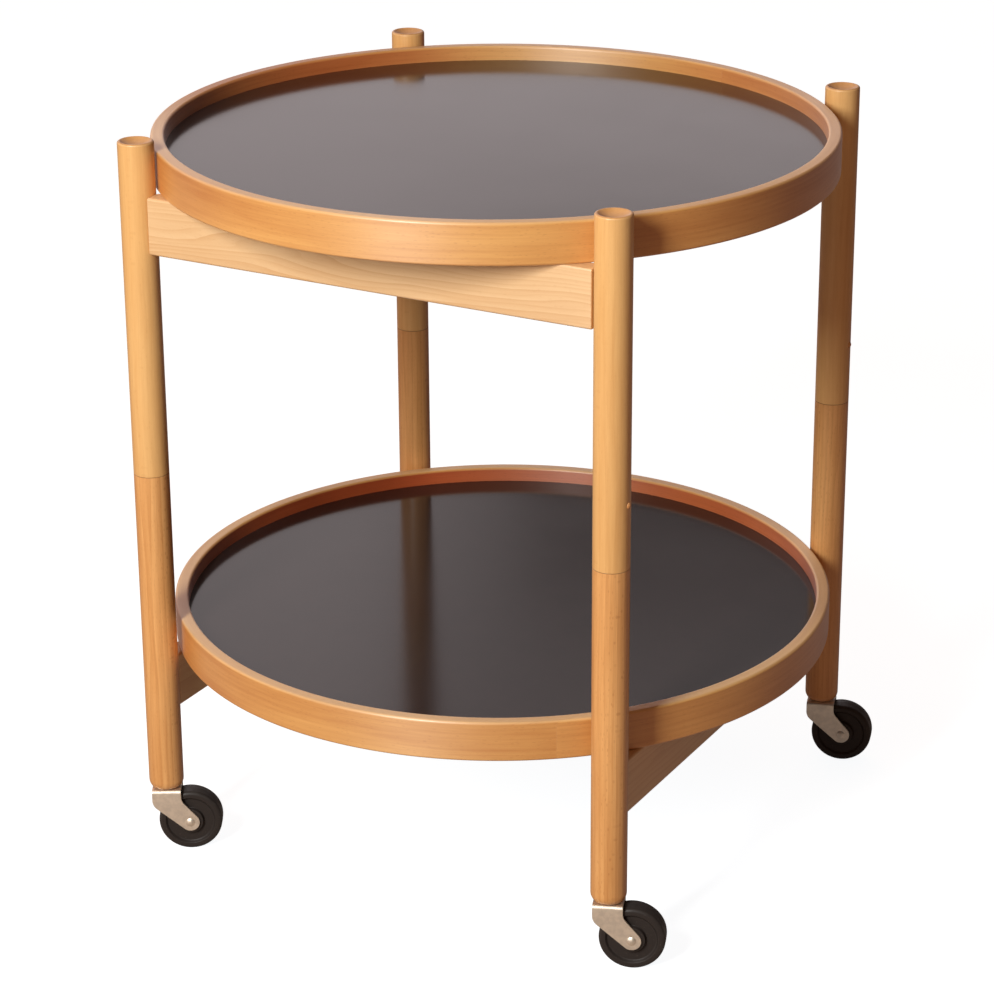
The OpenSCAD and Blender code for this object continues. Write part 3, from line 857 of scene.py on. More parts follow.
def wire_beech(wires, shader, colours, strengths, fibres, shine):
    """Oiled beech. Its sheen spreads across the fibres, which run upright or round the piece."""
    board = wires.carried(GRAIN, "Vector")
    pale, deep = colours
    figure = figured(wires, board, colours, looks().ring_pitch, strengths, wires.carried(END_GRAIN))
    edges = worn(wires, board, 0.018)
    grime_shade, painted_tone_reach = 0.45, 0.45
    wood = wires.blend(wires.times(edges["Rubbed"], 0.3), figure["Colour"], opaque(pale))
    wood = wires.blend(edges["Grime"], wood, opaque(Vector(deep) * grime_shade))
    # The rims' painted light: deeper where shade is painted, paler where a highlight or gloss is painted
    painted_tone = wires.carried(PAINTED_LIGHT_TONE)
    wood = wires.tinted(wires.times(painted_tone, painted_tone_reach, clamp=True), wood, PAINTED_SHADE_TINT)
    wood = wires.blend(wires.times(painted_tone, -painted_tone_reach, clamp=True), wood, PAINTED_HIGHLIGHT_WOOD)
    roughness = wires.plus(figure["Gloss"], looks().wood_gloss)
    values = {
        "Base Color": wood,
        "Roughness": wires.minus(roughness, wires.times(edges["Rubbed"], 0.08), clamp=True),
        "Specular IOR Level": shine,
        "Anisotropic": looks().wood_sheen,
        "Anisotropic Rotation": fibres,
        "Tangent": wires.add("ShaderNodeTangent", direction_type="RADIAL", axis="Z"),
        "Coat Weight": looks().oil_coat,
        "Coat Roughness": looks().oil_gloss,
        "Normal": bumpy(wires, figure["Height"], 0.35, 0.00012),
    }
    wires.feed(shader, values)


def beech(kind):
    """Oiled beech of one kind."""
    name, colours, fibres, shine, strengths = BEECHES[kind]
    pair = [getattr(looks(), f"{colours}_{depth}") for depth in ("pale", "deep")]
    return finish(name, wire_beech, pair, strengths, fibres, shine)


def wire_plain_wood(wires, shader, colours, axes):
    """Wood of an inner piece that stays a solid, with its axes in order: along the grain, then across it."""
    split = wires.node("ShaderNodeSeparateXYZ", {0: wires.place()})
    board = wires.add("ShaderNodeCombineXYZ", {slot: split[axis] for slot, axis in enumerate(axes)})
    figure = figured(wires, board, colours, 0.002, PLAIN_FIGURE, 0.0)
    values = {
        "Base Color": figure["Colour"],
        "Roughness": wires.plus(figure["Gloss"], 0.62, clamp=True),
        "Normal": bumpy(wires, figure["Height"], 0.35, 0.0001),
    }
    wires.feed(shader, values)


def wire_laminate(wires, shader):
    """Near-black satin laminate."""
    marks = wires.group(handling_marks, {"Place": wires.place()})
    colour = mottled(wires, looks().laminate, 60.0, 4.0, 0.7, (-0.12, 0.12))
    smudged = wires.times(marks["Smudge"], 0.02)
    wiped = wires.times(marks["Wiping"], 0.008)
    pebble = wires.noise(wires.scaled(wires.place(), 1500.0), detail=1.0)
    values = {
        "Base Color": wires.blend(wires.times(marks["Specks"], 0.05), colour, PALE_DUST),
        "Roughness": wires.plus(smudged, looks().laminate_gloss, wiped, clamp=True),
        "Normal": bumpy(wires, pebble, 0.12, 0.00004),
    }
    wires.feed(shader, values)


def wire_nickel(wires, shader):
    """Satin nickel on pressed steel."""
    marks = wires.group(handling_marks, {"Place": wires.place()})
    rubbed = worn(wires, wires.place(), 0.004)["Rubbed"]
    colour = mottled(wires, looks().nickel, 220.0, 3.0, 0.5, (-0.08, 0.06))
    roughness = wires.plus(wires.times(marks["Smudge"], 0.08), looks().nickel_gloss)
    rolled = wires.noise(wires.stretched(wires.place(), 2600.0, 2600.0, 700.0))
    values = {
        "Base Color": wires.blend(wires.times(rubbed, 0.5), colour, RUBBED_NICKEL),
        "Metallic": 1.0,
        "Roughness": wires.minus(roughness, wires.times(rubbed, 0.1), clamp=True),
        "Normal": bumpy(wires, rolled, 0.10, 0.00003),
    }
    wires.feed(shader, values)


def wire_moulding(wires, shader):
    """Hard black moulding with a scuffed tread."""
    marks = wires.group(handling_marks, {"Place": wires.place()})
    rubbed = worn(wires, wires.place(), 0.006)["Rubbed"]
    colour = wires.blend(wires.times(rubbed, 0.35), opaque(looks().wheel), SCUFFED_MOULDING)
    scuffed = wires.times(rubbed, 0.2)
    smudged = wires.times(marks["Smudge"], 0.1)
    moulded = wires.noise(wires.scaled(wires.place(), 1800.0))
    values = {
        "Base Color": wires.blend(wires.times(marks["Specks"], 0.10), colour, DARK_DUST),
        "Roughness": wires.plus(scuffed, looks().wheel_gloss, smudged, clamp=True),
        "Specular IOR Level": 0.3,
        "Normal": bumpy(wires, moulded, 0.12, 0.00004),
    }
    wires.feed(shader, values)


def nickel():
    """Finish of every piece of steel."""
    return finish("Satin nickel", wire_nickel)


# ---- posts ----


def heart_offset(index, kind):
    """Where a board lay in its tree: how far along, and how far from the heart in which direction."""
    distance, turn = HEARTS[kind]
    angle = turn + index * HEART_TURN
    return Vector((BOARD_STEP * index, distance * math.cos(angle), distance * math.sin(angle)))


def flat_half_angle(sizes):
    """Half the angle that a rail's flat takes of a post."""
    radius = sizes.diameter / 2
    return math.acos((radius - sizes.rail_seat) / radius)


def domed(radius, rise):
    """Radius of the ball that a dome or hollow is cut from, and the angle from its top to its edge."""
    ball = (radius**2 + rise**2) / (2 * rise)
    return ball, math.degrees(math.asin(radius / ball))


def upper_post_outline(sizes, seam, pivot_top, rail, post_top):
    """Outline of a post's upper half: tenon's bore, flats for a top rail, rounded edge and dished top."""
    radius = sizes.diameter / 2
    bore = sizes.tenon_width / 2 + sizes.bore_play
    bore_top = pivot_top + sizes.tenon_play
    shoulder = arc((radius - sizes.top_round, post_top - sizes.top_round), sizes.top_round, 0, 90, 6)
    ball, edge = domed(sizes.dish_width / 2, sizes.dish_depth)
    dish = arc((0, post_top - sizes.dish_depth + ball), ball, edge - 90, -90, 12)
    (lip_radius, lip_height, _), *slope, (_, bottom, _) = dish
    seam += sizes.seam_gap
    return [
        (0, bore_top, 0.0),
        (bore, bore_top, 0.0),
        (bore, seam, AT_JOINT),
        (radius - sizes.seam_ease, seam, AT_JOINT),
        (radius, seam + sizes.seam_ease, NEAR_JOINT),
        (radius, seam + 3 * sizes.seam_ease, 0.0),
        *[(radius, height, 0.0) for height in flat_heights(rail)],
        *shoulder,
        (lip_radius, lip_height, RUBBED),
        *[(x, z, 0.0) for x, z, _ in slope],
        (0, bottom, 0.0),
    ]


def lower_post_outline(sizes, foot, seam, socket_top, pin_height, rail, tenon_top):
    """Outline of a post's lower half: sleeve's socket, round foot, flats for a bottom rail, grooved tenon."""
    radius = sizes.diameter / 2
    tenon = sizes.tenon_width / 2
    groove = sizes.groove_width / 2
    socket = sizes.socket_width / 2
    foot_turn = math.degrees(math.acos(1 - (sizes.diameter - sizes.foot_width) / 2 / sizes.foot_round))
    foot_height = sizes.foot_round * math.sin(math.radians(foot_turn))
    rounding = arc((radius - sizes.foot_round, foot + foot_height), sizes.foot_round, -foot_turn, 0, 8)
    groove_low = pin_height - sizes.groove_height / 2
    groove_high = pin_height + sizes.groove_height / 2
    return [
        (0, socket_top, 0.0),
        (socket, socket_top, 0.0),
        (socket, foot, 0.0),
        *rounding,
        *[(radius, height, 0.0) for height in flat_heights(rail)],
        (radius, seam - 3 * sizes.seam_ease, 0.0),
        (radius, seam - sizes.seam_ease, NEAR_JOINT),
        (radius - sizes.seam_ease, seam, AT_JOINT),
        (tenon, seam, AT_JOINT),
        (tenon, groove_low, 0.0),
        (groove, groove_low, 0.0),
        (groove, groove_high, 0.0),
        (tenon, groove_high, 0.0),
        (tenon, tenon_top - sizes.tenon_tip, 0.0),
        (tenon - sizes.tenon_tip, tenon_top, 0.0),
        (0, tenon_top, 0.0),
    ]


def flat_heights(rail):
    """Heights of the rings that bound a rail's flat, one pair at each end of it."""
    bottom, top = bottom_of(rail), top_of(rail)
    step = 1e-6
    return (bottom, bottom + step, top - step, top)


def rail_of(corner, half):
    """The rail that meets a half of a post, and the direction in which it leaves."""
    post = post_place(corner)
    if half == "upper":
        rail = f"{corner.split('_')[0]}_top_rail"
        return rail, (math.pi if post.x > 0 else 0.0)
    rail = f"{corner.split('_')[1]}_bottom_rail"
    return rail, (-math.pi / 2 if post.y > 0 else math.pi / 2)


def build_post_half(corner, half, outline, rail, direction):
    """Turns one half of a post, presses its rail's flat, and puts it in its place."""
    sizes = bpy.context.scene.side_table.posts
    weld = 5e-7
    shape = turned(outline, flatted_angles(sizes.sectors, direction, flat_half_angle(sizes)))
    cut_flat(shape, direction, sizes.diameter / 2 - sizes.rail_seat, bottom_of(rail), top_of(rail))
    bmesh.ops.remove_doubles(shape, verts=shape.verts, dist=weld)
    move(shape, post_place(corner))
    straight_grain(shape, 2, post_place(corner), heart_offset(CORNERS.index(corner), half))
    add_piece(f"{corner}_{half}_post", shape, f"{corner}_{half}_leg", beech(half))


class SIDETABLE_OT_upper_posts(bpy.types.Operator):
    """Turn the four upper halves of the posts, with their dished tops"""

    bl_idname = "side_table.upper_posts"
    bl_label = "Upper posts"

    def execute(self, context):
        sizes = context.scene.side_table.posts
        for corner in CORNERS:
            node = f"{corner}_upper_leg"
            rail, direction = rail_of(corner, "upper")
            pivot_top = top_of(f"{corner}_lower_leg")
            outline = upper_post_outline(sizes, bottom_of(node), pivot_top, rail, top_of(node))
            build_post_half(corner, "upper", outline, rail, direction)
        return {"FINISHED"}


class SIDETABLE_OT_lower_posts(bpy.types.Operator):
    """Turn the four lower halves of the posts, with their feet and tenons"""

    bl_idname = "side_table.lower_posts"
    bl_label = "Lower posts"

    def execute(self, context):
        sizes = context.scene.side_table.posts
        pin_height = box_middle("front_retaining_pins").z
        for corner in CORNERS:
            node = f"{corner}_lower_leg"
            rail, direction = rail_of(corner, "lower")
            socket_top = top_of(f"{corner}_caster_sleeve") + sizes.tenon_play
            outline = lower_post_outline(
                sizes,
                foot=bottom_of(node),
                seam=bottom_of(f"{corner}_upper_leg"),
                socket_top=socket_top,
                pin_height=pin_height,
                rail=rail,
                tenon_top=top_of(node),
            )
            build_post_half(corner, "lower", outline, rail, direction)
        return {"FINISHED"}


class SIDETABLE_OT_retaining_pins(bpy.types.Operator):
    """Turn the domed pins that keep the posts' tenons in"""

    bl_idname = "side_table.retaining_pins"
    bl_label = "Retaining pins"

    def execute(self, context):
        sizes = context.scene.side_table.posts
        radius = sizes.pin_width / 2
        ball, edge = domed(radius, sizes.pin_head)
        head = sizes.diameter / 2 + sizes.pin_head
        tip = sizes.groove_width / 2 + sizes.tenon_play
        dome = arc((0, head - ball), ball, 90 - edge, 90, 8)
        outline = [(0, tip, 0.0), (radius, tip, 0.0), *dome[:-1], (0, head, 0.0)]
        for row in ("front", "back"):
            node = f"{row}_retaining_pins"
            pins = bmesh.new()
            for side, sign in (("left", -1), ("right", 1)):
                place = post_place(f"{row}_{side}") + Z_AXIS * box_middle(node).z
                pin = turned(outline, even_angles(sizes.pin_sectors))
                transform(pin, Matrix.Translation(place) @ Matrix.Rotation(sign * math.pi / 2, 4, "Y"))
                straight_grain(pin, 0, place, heart_offset(sign, "pin"))
                one = bpy.data.meshes.new("pin")
                pin.to_mesh(one)
                pin.free()
                pins.from_mesh(one)
                bpy.data.meshes.remove(one)
            add_piece(f"{row}_pins", pins, node, beech("pin"))
        return {"FINISHED"}


# ---- rails ----


class SIDETABLE_OT_rails(bpy.types.Operator):
    """Make the two top rails and the two bottom rails"""

    bl_idname = "side_table.rails"
    bl_label = "Rails"

    def execute(self, context):
        sizes = context.scene.side_table.rails
        for index, (rail, axis) in enumerate(RAILS.items()):
            shape = eased_bar(box_size(rail), axis, sizes.rounding, sizes.end_rounding, sizes.segments)
            straight_grain(shape, axis, Vector((0, 0, 0)), heart_offset(index, "rail"))
            move(shape, box_middle(rail))
            add_piece(f"{rail}_board", shape, rail, beech("rail"))
        return {"FINISHED"}


# ---- trays ----


def painted_tone_at(azimuth, plain, swells):
    """Tone of the wood at an azimuth, in degrees."""
    painted_tone = plain
    for middle, reach, amount in swells:
        away = abs((azimuth - middle + 180) % 360 - 180)
        painted_tone += amount * (0.5 + 0.5 * math.cos(math.pi * min(1.0, away / reach)))
    return painted_tone


def rim_shape(sizes, radius, height, core_low, core_high, seam, painted_tones):
    """Bent rim: an eased section with a groove for the core, and a fine line at the slanted scarf."""
    inner = radius - sizes.rim_width
    outline = eased(
        [
            (inner, 0.0, sizes.rounding),
            (radius, 0.0, sizes.rounding),
            (radius, height, sizes.rounding),
            (inner, height, sizes.rounding),
            (inner, core_high, 0.0),
            (inner + sizes.groove, core_high, 0.0),
            (inner + sizes.groove, core_low, 0.0),
            (inner, core_low, 0.0),
        ]
    )
    line_angle = sizes.scarf_line / radius / 2
    first, *others = even_angles(sizes.sectors)
    angles = [first, first + line_angle, *others, math.tau - line_angle]
    shape = turned(outline, [seam + angle for angle in angles], closed=True)
    section_middle = radius - sizes.rim_width / 2
    outward = Vector((math.cos(seam), math.sin(seam), 0))
    section_heart = outward * section_middle + Z_AXIS * height / 2
    # Each corner carries its painted light: pale where a highlight or gloss is painted, deep where shade is
    # painted
    painted_tone_layer = shape.verts.layers.float.new(PAINTED_LIGHT_TONE)
    for vert in shape.verts:
        distance = math.hypot(vert.co.x, vert.co.y)
        lean = scarf_lean(sizes, radius, distance)
        azimuth = math.degrees(math.atan2(vert.co.x, -vert.co.y) + lean)
        side = "inner" if distance < section_middle else "outer"
        on_top = max(0.0, 1.0 + (vert.co.z - height) / sizes.rounding)
        side_painted_tone, top_painted_tone = painted_tone_at(azimuth, *painted_tones[side]), painted_tone_at(azimuth, *painted_tones["top"])
        vert[painted_tone_layer] = side_painted_tone + (top_painted_tone - side_painted_tone) * on_top
        if (vert.co.to_2d().normalized() - outward.to_2d()).length < line_angle / 4:
            vert.co += (section_heart - vert.co).normalized() * sizes.scarf_line
        vert.co.rotate(Matrix.Rotation(lean, 3, "Z"))
    return shape


class SIDETABLE_OT_rims(bpy.types.Operator):
    """Bend the rims of both trays"""

    bl_idname = "side_table.rims"
    bl_label = "Tray rims"

    def execute(self, context):
        sizes = context.scene.side_table.trays
        seams = {"top_tray": sizes.top_scarf_at, "bottom_tray": sizes.bottom_scarf_at}
        for index, tray in enumerate(TRAYS):
            node = f"{tray}_rim"
            size, base = box_size(node), bottom_of(node)
            radius = size.x / 2
            seam = seams[tray] - math.pi / 2
            core = f"{tray}_core"
            core_low, core_high = bottom_of(core) - base, top_of(core) - base
            shape = rim_shape(sizes, radius, size.z, core_low, core_high, seam, RIM_PAINTED_LIGHT[tray])
            bent_grain(shape, sizes, radius, seam, heart_offset(index, "rim"))
            middle = box_middle(node)
            move(shape, Vector((middle.x, middle.y, base)))
            add_piece(f"{tray}_bent_rim", shape, node, beech("rim"))
        return {"FINISHED"}


class SIDETABLE_OT_panels(bpy.types.Operator):
    """Lay the laminate on both faces of the trays' panels, and finish their cores"""

    bl_idname = "side_table.panels"
    bl_label = "Tray panels"

    def execute(self, context):
        sizes = context.scene.side_table.trays
        ease = sizes.sheet_ease
        rings = (0.5, 0.97)
        core = finish("Panel core", wire_plain_wood, CORE_COLOURS, (0, 1, 2))
        sheet = finish("Satin laminate", wire_laminate)
        for tray in TRAYS:
            refinish(f"{tray}_core", core)
            for face in ("upper", "lower"):
                node = f"{tray}_{face}_laminate"
                radius = box_size(node).x / 2
                bottom, top = bottom_of(node), top_of(node)
                outline = [
                    (0, bottom, 0.0),
                    *[(radius * share, bottom, 0.0) for share in rings],
                    (radius - ease, bottom, RUBBED),
                    (radius, bottom + ease, RUBBED),
                    (radius, top - ease, RUBBED),
                    (radius - ease, top, RUBBED),
                    *[(radius * share, top, 0.0) for share in reversed(rings)],
                    (0, top, 0.0),
                ]
                shape = turned(outline, even_angles(sizes.sectors))
                middle = box_middle(node)
                move(shape, Vector((middle.x, middle.y, 0)))
                add_piece(f"{tray}_{face}_sheet", shape, node, sheet)
        return {"FINISHED"}


# ---- casters ----


def cheek_edges(sizes, axle_reach, axle_height, crown):
    """Front and rear edge of the fork's cheek, as (reach, height) points from its lowest point up."""
    axle = Vector((axle_reach, axle_height))
    front = Vector((-sizes.reach_front, crown - sizes.front_knee))
    rear = Vector((sizes.reach_rear, crown - sizes.rear_knee))

    def touch(knee, side):
        away = knee - axle
        lean = math.degrees(math.acos(sizes.cheek_end / away.length))
        return math.degrees(math.atan2(away.y, away.x)) + side * lean

    def edge(knee, angle, stop):
        end = axle + sizes.cheek_end * Vector((math.cos(math.radians(angle)), math.sin(math.radians(angle))))
        top = Vector((knee.x, crown))
        rounding = eased_corner(end, knee, top, sizes.knee_round, 8)
        points = arc(axle, sizes.cheek_end, 270, stop, 10) + rounding + [(knee.x, crown, 0.0)]
        return [(x, z) for x, z, _ in points]

    front_touch, rear_touch = touch(front, 1), touch(rear, -1)
    return edge(front, front_touch, front_touch), edge(rear, rear_touch, rear_touch + 360)


def reach_at(edge, height):
    """Where an edge is at a height."""
    for (x0, z0), (x1, z1) in zip(edge, edge[1:]):
        if z0 <= height <= z1 and z1 > z0:
            return x0 + (x1 - x0) * (height - z0) / (z1 - z0)
    return edge[-1][0] if height > edge[-1][1] else edge[0][0]


def fork_path(sizes, front, rear, crown):
    """Rows of the fork's sheet across the wheel: (side, height, lean) from one cheek's end to the other's."""
    half = sizes.fork_width / 2
    bend_low = crown - sizes.bend
    lowest = front[0][1] + sizes.cheek_end * CHEEK_CUT
    heights = sorted({round(z, 6) for _, z in front + rear if lowest < z < bend_low} | {lowest, bend_low})
    path = [(half, z, 0.0) for z in heights]
    bend_steps = 6
    for step in range(1, bend_steps + 1):
        lean = math.radians(90 / bend_steps * step)
        side = half - sizes.bend * (1 - math.cos(lean))
        path.append((side, bend_low + sizes.bend * math.sin(lean), lean))
    crown_steps = 4
    span = half - sizes.bend
    path += [(span * (1 - step / crown_steps), crown, math.pi / 2) for step in range(1, crown_steps + 1)]
    return path + [(-side, z, math.pi - lean) for side, z, lean in reversed(path[:-1])]


def fork_shape(sizes, axle_reach, axle_height, crown):
    """Fork pressed from one sheet: two cheeks, two bends and a crown between them."""
    front, rear = cheek_edges(sizes, axle_reach, axle_height, crown)
    path = fork_path(sizes, front, rear, crown)
    margin, inner_columns, border_angle = 0.0006, (0.35, 0.65), math.radians(55)

    shape = bmesh.new()
    wear_layer = shape.verts.layers.float.new(WEAR)
    outer, inner = [], []
    for side, z, lean in path:
        x0, x1 = reach_at(front, z), reach_at(rear, z)
        step = min(margin, (x1 - x0) / 4)
        columns = [x0, x0 + step, *[x0 + (x1 - x0) * share for share in inner_columns], x1 - step, x1]
        inward = Vector((0, -math.cos(lean), -math.sin(lean))) * sizes.sheet
        outer.append([shape.verts.new((x, side, z)) for x in columns])
        inner.append([shape.verts.new(Vector((x, side, z)) + inward) for x in columns])

    def skin(first, second):
        """Spans two rows of corners with faces."""
        for corners in zip(first, first[1:], second[1:], second):
            shape.faces.new(corners)

    for sheet in (outer, inner):
        for row, next_row in zip(sheet, sheet[1:]):
            skin(row, next_row)
    for column in (0, -1):
        skin([row[column] for row in outer], [row[column] for row in inner])
    for row in (0, -1):
        skin(outer[row], inner[row])
    bmesh.ops.recalc_face_normals(shape, faces=shape.faces)
    border = [edge for edge in shape.edges if edge.calc_face_angle(0.0) > border_angle]
    for vert in bevel(shape, border, sizes.edge_break, 2)["verts"]:
        vert[wear_layer] = RUBBED
    return shape


class SIDETABLE_OT_forks(bpy.types.Operator):
    """Press the four casters' forks"""

    bl_idname = "side_table.forks"
    bl_label = "Caster forks"

    def execute(self, context):
        sizes = context.scene.side_table.casters
        for corner in CORNERS:
            node = f"{corner}_caster_fork"
            axle = Vector(JOINTS[f"{corner}_wheel_spin"]["pos_m"])
            reach = (axle.to_2d() - post_place(corner).to_2d()).length
            shape = fork_shape(sizes, reach, axle.z, top_of(node))
            transform(shape, caster_place(corner))
            add_piece(f"{corner}_fork", shape, node, nickel())
        return {"FINISHED"}


class SIDETABLE_OT_wheels(bpy.types.Operator):
    """Mould the four wheels"""

    bl_idname = "side_table.wheels"
    bl_label = "Caster wheels"

    def execute(self, context):
        sizes = context.scene.side_table.casters
        hub, web, tread = sizes.hub_width / 2, sizes.web_width / 2, sizes.wheel_width / 2
        hub_slope, web_slope, small, fillet = 0.0008, 0.0015, 0.0006, 0.0012
        for corner in CORNERS:
            node = f"{corner}_caster_wheel"
            radius = box_size(node).z / 2
            line = sizes.mould_line
            side = [
                (sizes.bore / 2, -hub, 0.0),
                (sizes.hub / 2, -hub, small),
                (sizes.hub / 2 + hub_slope, -web, small),
                (sizes.web / 2, -web, fillet),
                (sizes.web / 2 + web_slope, -tread, small),
                (radius - line, -tread, sizes.tread_round),
                (radius - line, -2 * line, 0.0),
            ]
            far_side = [(x, -z, rounding) for x, z, rounding in reversed(side)]
            outline = eased([*side, (radius, 0.0, 0.0), *far_side])
            outline = [(x, z, RUBBED if x > radius - 2 * line else wear) for x, z, wear in outline]
            shape = turned(outline, even_angles(sizes.sectors), closed=True)
            transform(shape, axle_place(corner))
            moulding = finish("Black moulding", wire_moulding)
            add_piece(f"{corner}_wheel", shape, node, moulding)
        return {"FINISHED"}


class SIDETABLE_OT_inner_pieces(bpy.types.Operator):
    """Finish the solids that stay as they are: stems, sleeves, rings, axles and dowels"""

    bl_idname = "side_table.inner_pieces"
    bl_label = "Fittings and dowels"

    def execute(self, context):
        for corner in CORNERS:
            for part in ("caster_sleeve", "caster_stem", "stem_ring", "caster_axle"):
                refinish(f"{corner}_{part}", nickel())
        for rows, along, axes in ((("front", "back"), "X", (0, 1, 2)), (("left", "right"), "Y", (1, 0, 2))):
            dowel = finish(f"Dowel beech {along}", wire_plain_wood, DOWEL_COLOURS, axes)
            for row in rows:
                refinish(f"{row}_rail_dowels", dowel)
        return {"FINISHED"}


# ---- stage ----


def towards(azimuth, elevation):
    """Direction from the table to a camera or a lamp."""
    flat = math.cos(elevation)
    return Vector((math.sin(azimuth) * flat, -math.cos(azimuth) * flat, math.sin(elevation)))


def add_aimed(name, data, target, away, distance):
    """Puts a camera or a lamp at a distance from its target, which it looks at."""
    holder = bpy.data.objects.new(name, data)
    holder.location = target + away * distance
    holder.rotation_mode = "QUATERNION"
    holder.rotation_quaternion = away.to_track_quat("Z", "Y")
    bpy.context.scene.collection.objects.link(holder)
    return holder


def seen_plainly(wires, in_gloss=1.0):
    """1 for what the camera sees directly, a share of that in a gloss, and 0 for what lights the table."""
    path = wires.node("ShaderNodeLightPath")
    glossy = wires.times(path["Is Glossy Ray"], in_gloss)
    return wires.plus(path["Is Camera Ray"], glossy, path["Is Transmission Ray"], clamp=True)


def white_surroundings(settings):
    """World that is white to the camera, a lit backdrop in a gloss, and a little light from all round."""
    world = bpy.data.worlds.new("Surroundings")
    bpy.context.scene.world = world
    world.use_nodes = True
    wires = Wires(world.node_tree)
    direction = wires.add("ShaderNodeTexCoord", None, "Generated")
    side = settings.azimuth

    def along(heading):
        return wires.vector("DOT_PRODUCT", direction, heading, output="Value")

    depth = along((-math.sin(side), math.cos(side), 0))
    right = along((math.cos(side), math.sin(side), 0))
    height = along(Z_AXIS)

    # The light from all round fades to the right and grows towards the backdrop
    to_right = wires.range(right, -0.4, 0.7, 1.25, 0.27)
    to_back = wires.range(depth, 0.3, 0.95, 1.0, 2.4)
    soft = world.node_tree.nodes["Background"]
    strength = wires.times(to_right, to_back, settings.ambient)
    wires.feed(soft.inputs, {"Color": opaque(settings.ambient_colour), "Strength": strength})

    # In a gloss the backdrop is bright low down and on the left, and the room before the table is dim
    backdrop_level, room_level = 0.97, 0.05
    above = wires.range(height, 0.290, 0.330)
    edge_fall = wires.range(right, -0.06, -0.03, 0.12, 0.47)
    corner_fall = wires.times(wires.range(right, -0.025, 0.005), wires.range(height, 0.375, 0.43, 0.46, 0.0))
    fall = wires.times(above, wires.plus(edge_fall, corner_fall))
    right_fall = wires.range(right, 0.08, 0.40, 1.0, 0.12)
    backdrop = wires.times(wires.minus(1.0, fall), backdrop_level, right_fall)
    level = wires.plus(wires.times(wires.range(depth, -0.3, 0.5), backdrop), room_level)
    glossy = wires.add("ShaderNodeLightPath", None, "Is Glossy Ray")
    shown = wires.add("ShaderNodeMix", {0: glossy, 2: 1.0, 3: level})
    white = wires.add(
        "ShaderNodeBackground", {"Color": wires.blend(glossy, WHITE, GLOSS_TINT), "Strength": shown}
    )
    mixed = wires.add("ShaderNodeMixShader", {0: seen_plainly(wires), 1: soft.outputs[0], 2: white})
    wires.feed(world.node_tree.nodes["World Output"].inputs, {"Surface": mixed})


def wire_floor(wires, shader, in_gloss):
    """Pale floor that takes the table's shadow and melts into the white behind it."""
    plain_shader = shader[0].node
    wires.tree.nodes.remove(plain_shader)
    shaded = wires.add("ShaderNodeBsdfDiffuse", {"Color": FLOOR_SEEN})
    glow = wires.add("ShaderNodeEmission", {"Color": FLOOR_GLOW, "Strength": 0.95})
    lifted = wires.add("ShaderNodeAddShader", {0: shaded, 1: glow})
    warm = wires.add("ShaderNodeBsdfDiffuse", {"Color": FLOOR_BOUNCE})
    mixed = wires.add("ShaderNodeMixShader", {0: seen_plainly(wires, in_gloss), 1: warm, 2: lifted})
    wires.feed(wires.tree.nodes["Material Output"].inputs, {"Surface": mixed})


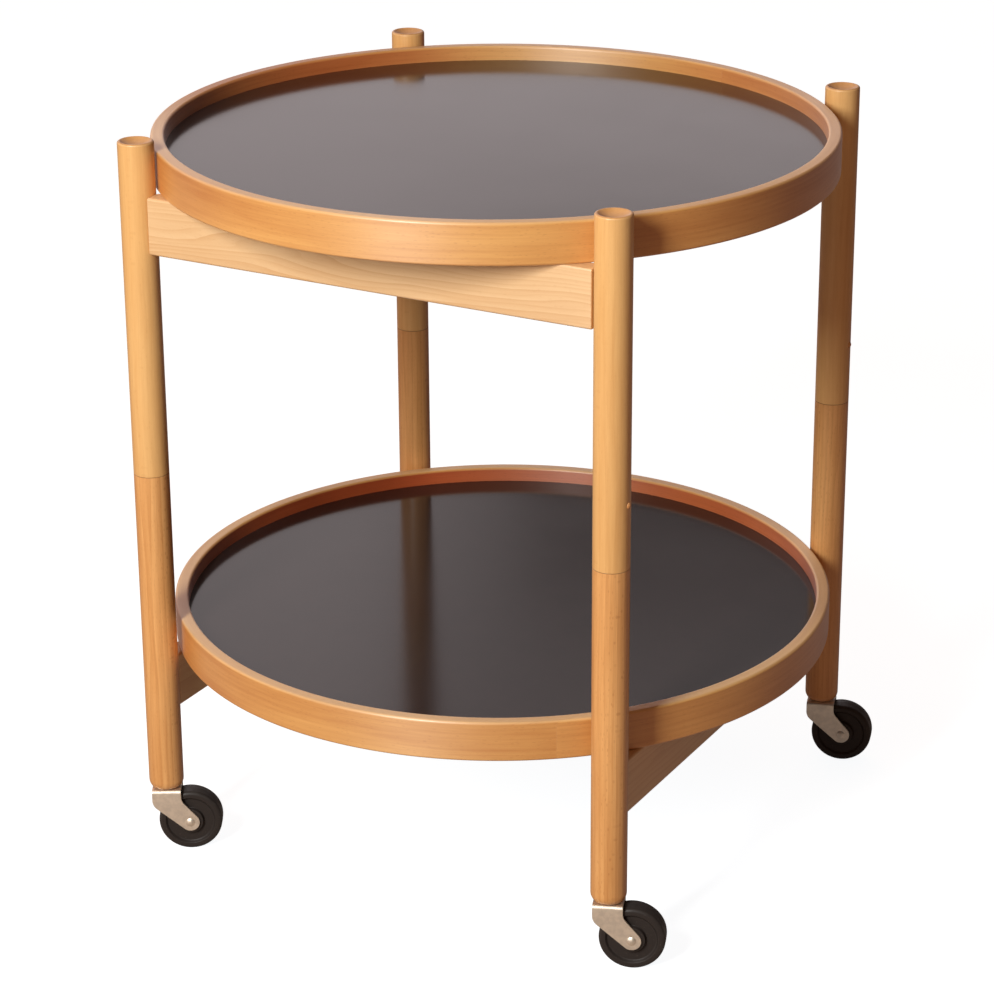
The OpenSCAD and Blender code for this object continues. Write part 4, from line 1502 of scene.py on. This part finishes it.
class SIDETABLE_OT_stage(bpy.types.Operator):
    """Set the floor, the surroundings, the lamp and the camera"""

    bl_idname = "side_table.stage"
    bl_label = "Stage"

    def execute(self, context):
        scene = context.scene
        settings = scene.side_table.stage
        shape = bmesh.new()
        bmesh.ops.create_grid(shape, x_segments=1, y_segments=1, size=settings.floor_reach)
        mesh = bpy.data.meshes.new("floor")
        shape.to_mesh(mesh)
        shape.free()
        mesh.materials.append(finish("Pale floor", wire_floor, settings.floor_gloss))
        floor = bpy.data.objects.new("floor", mesh)
        scene.collection.objects.link(floor)
        white_surroundings(settings)

        lamp = bpy.data.lights.new("key_lamp", "AREA")
        lamp.shape = "RECTANGLE"
        lamp.size, lamp.size_y = settings.key_width, settings.key_height
        lamp.energy = settings.key_power
        lamp.color = settings.key_colour
        table_middle = (CAD_BOX[0] + CAD_BOX[1]) / 2
        lamp_side = towards(settings.key_azimuth, settings.key_elevation)
        add_aimed("key_lamp", lamp, table_middle, lamp_side, settings.key_distance)

        camera = bpy.data.cameras.new("camera")
        camera.lens = settings.lens
        camera.shift_x, camera.shift_y = settings.shift
        camera_side = towards(settings.azimuth, settings.elevation)
        aim = Vector(settings.aim)
        scene.camera = add_aimed("camera", camera, aim, camera_side, settings.distance)
        scene.view_settings.view_transform = "Standard"
        return {"FINISHED"}


class SIDETABLE_PT_panel(bpy.types.Panel):
    """Settings and steps of the side table"""

    bl_idname = "SIDETABLE_PT_panel"
    bl_label = "Side table"
    bl_space_type = "VIEW_3D"
    bl_region_type = "UI"
    bl_category = "Side table"

    def draw(self, context):
        settings = context.scene.side_table
        for group in ("posts", "rails", "trays", "casters", "finishes", "stage"):
            box = self.layout.box()
            box.label(text=group.capitalize())
            values = getattr(settings, group)
            for name in values.bl_rna.properties.keys():
                if name not in ("rna_type", "name"):
                    box.prop(values, name)
        for operator in OPERATORS:
            self.layout.operator(operator.bl_idname)


SETTINGS = (
    PostSettings,
    RailSettings,
    TraySettings,
    CasterSettings,
    FinishSettings,
    StageSettings,
    SideTableSettings,
)
OPERATORS = (
    SIDETABLE_OT_upper_posts,
    SIDETABLE_OT_lower_posts,
    SIDETABLE_OT_retaining_pins,
    SIDETABLE_OT_rails,
    SIDETABLE_OT_rims,
    SIDETABLE_OT_panels,
    SIDETABLE_OT_forks,
    SIDETABLE_OT_wheels,
    SIDETABLE_OT_inner_pieces,
    SIDETABLE_OT_stage,
)
CLASSES = (*SETTINGS, *OPERATORS, SIDETABLE_PT_panel)


def register():
    """Registers the settings, the steps and the panel."""
    for item in CLASSES:
        bpy.utils.register_class(item)
    bpy.types.Scene.side_table = PointerProperty(
        type=SideTableSettings, name="Side table", description="Sizes, colours and stage of the side table"
    )


def unregister():
    """Takes everything back that register() added."""
    del bpy.types.Scene.side_table
    for item in reversed(CLASSES):
        bpy.utils.unregister_class(item)


def main():
    """Builds the whole picture, step by step, and writes how large the result is."""
    register()
    bpy.ops.side_table.upper_posts()
    bpy.ops.side_table.lower_posts()
    bpy.ops.side_table.retaining_pins()
    bpy.ops.side_table.rails()
    bpy.ops.side_table.rims()
    bpy.ops.side_table.panels()
    bpy.ops.side_table.forks()
    bpy.ops.side_table.wheels()
    bpy.ops.side_table.inner_pieces()
    bpy.ops.side_table.stage()


if __name__ == "__main__":
    main()
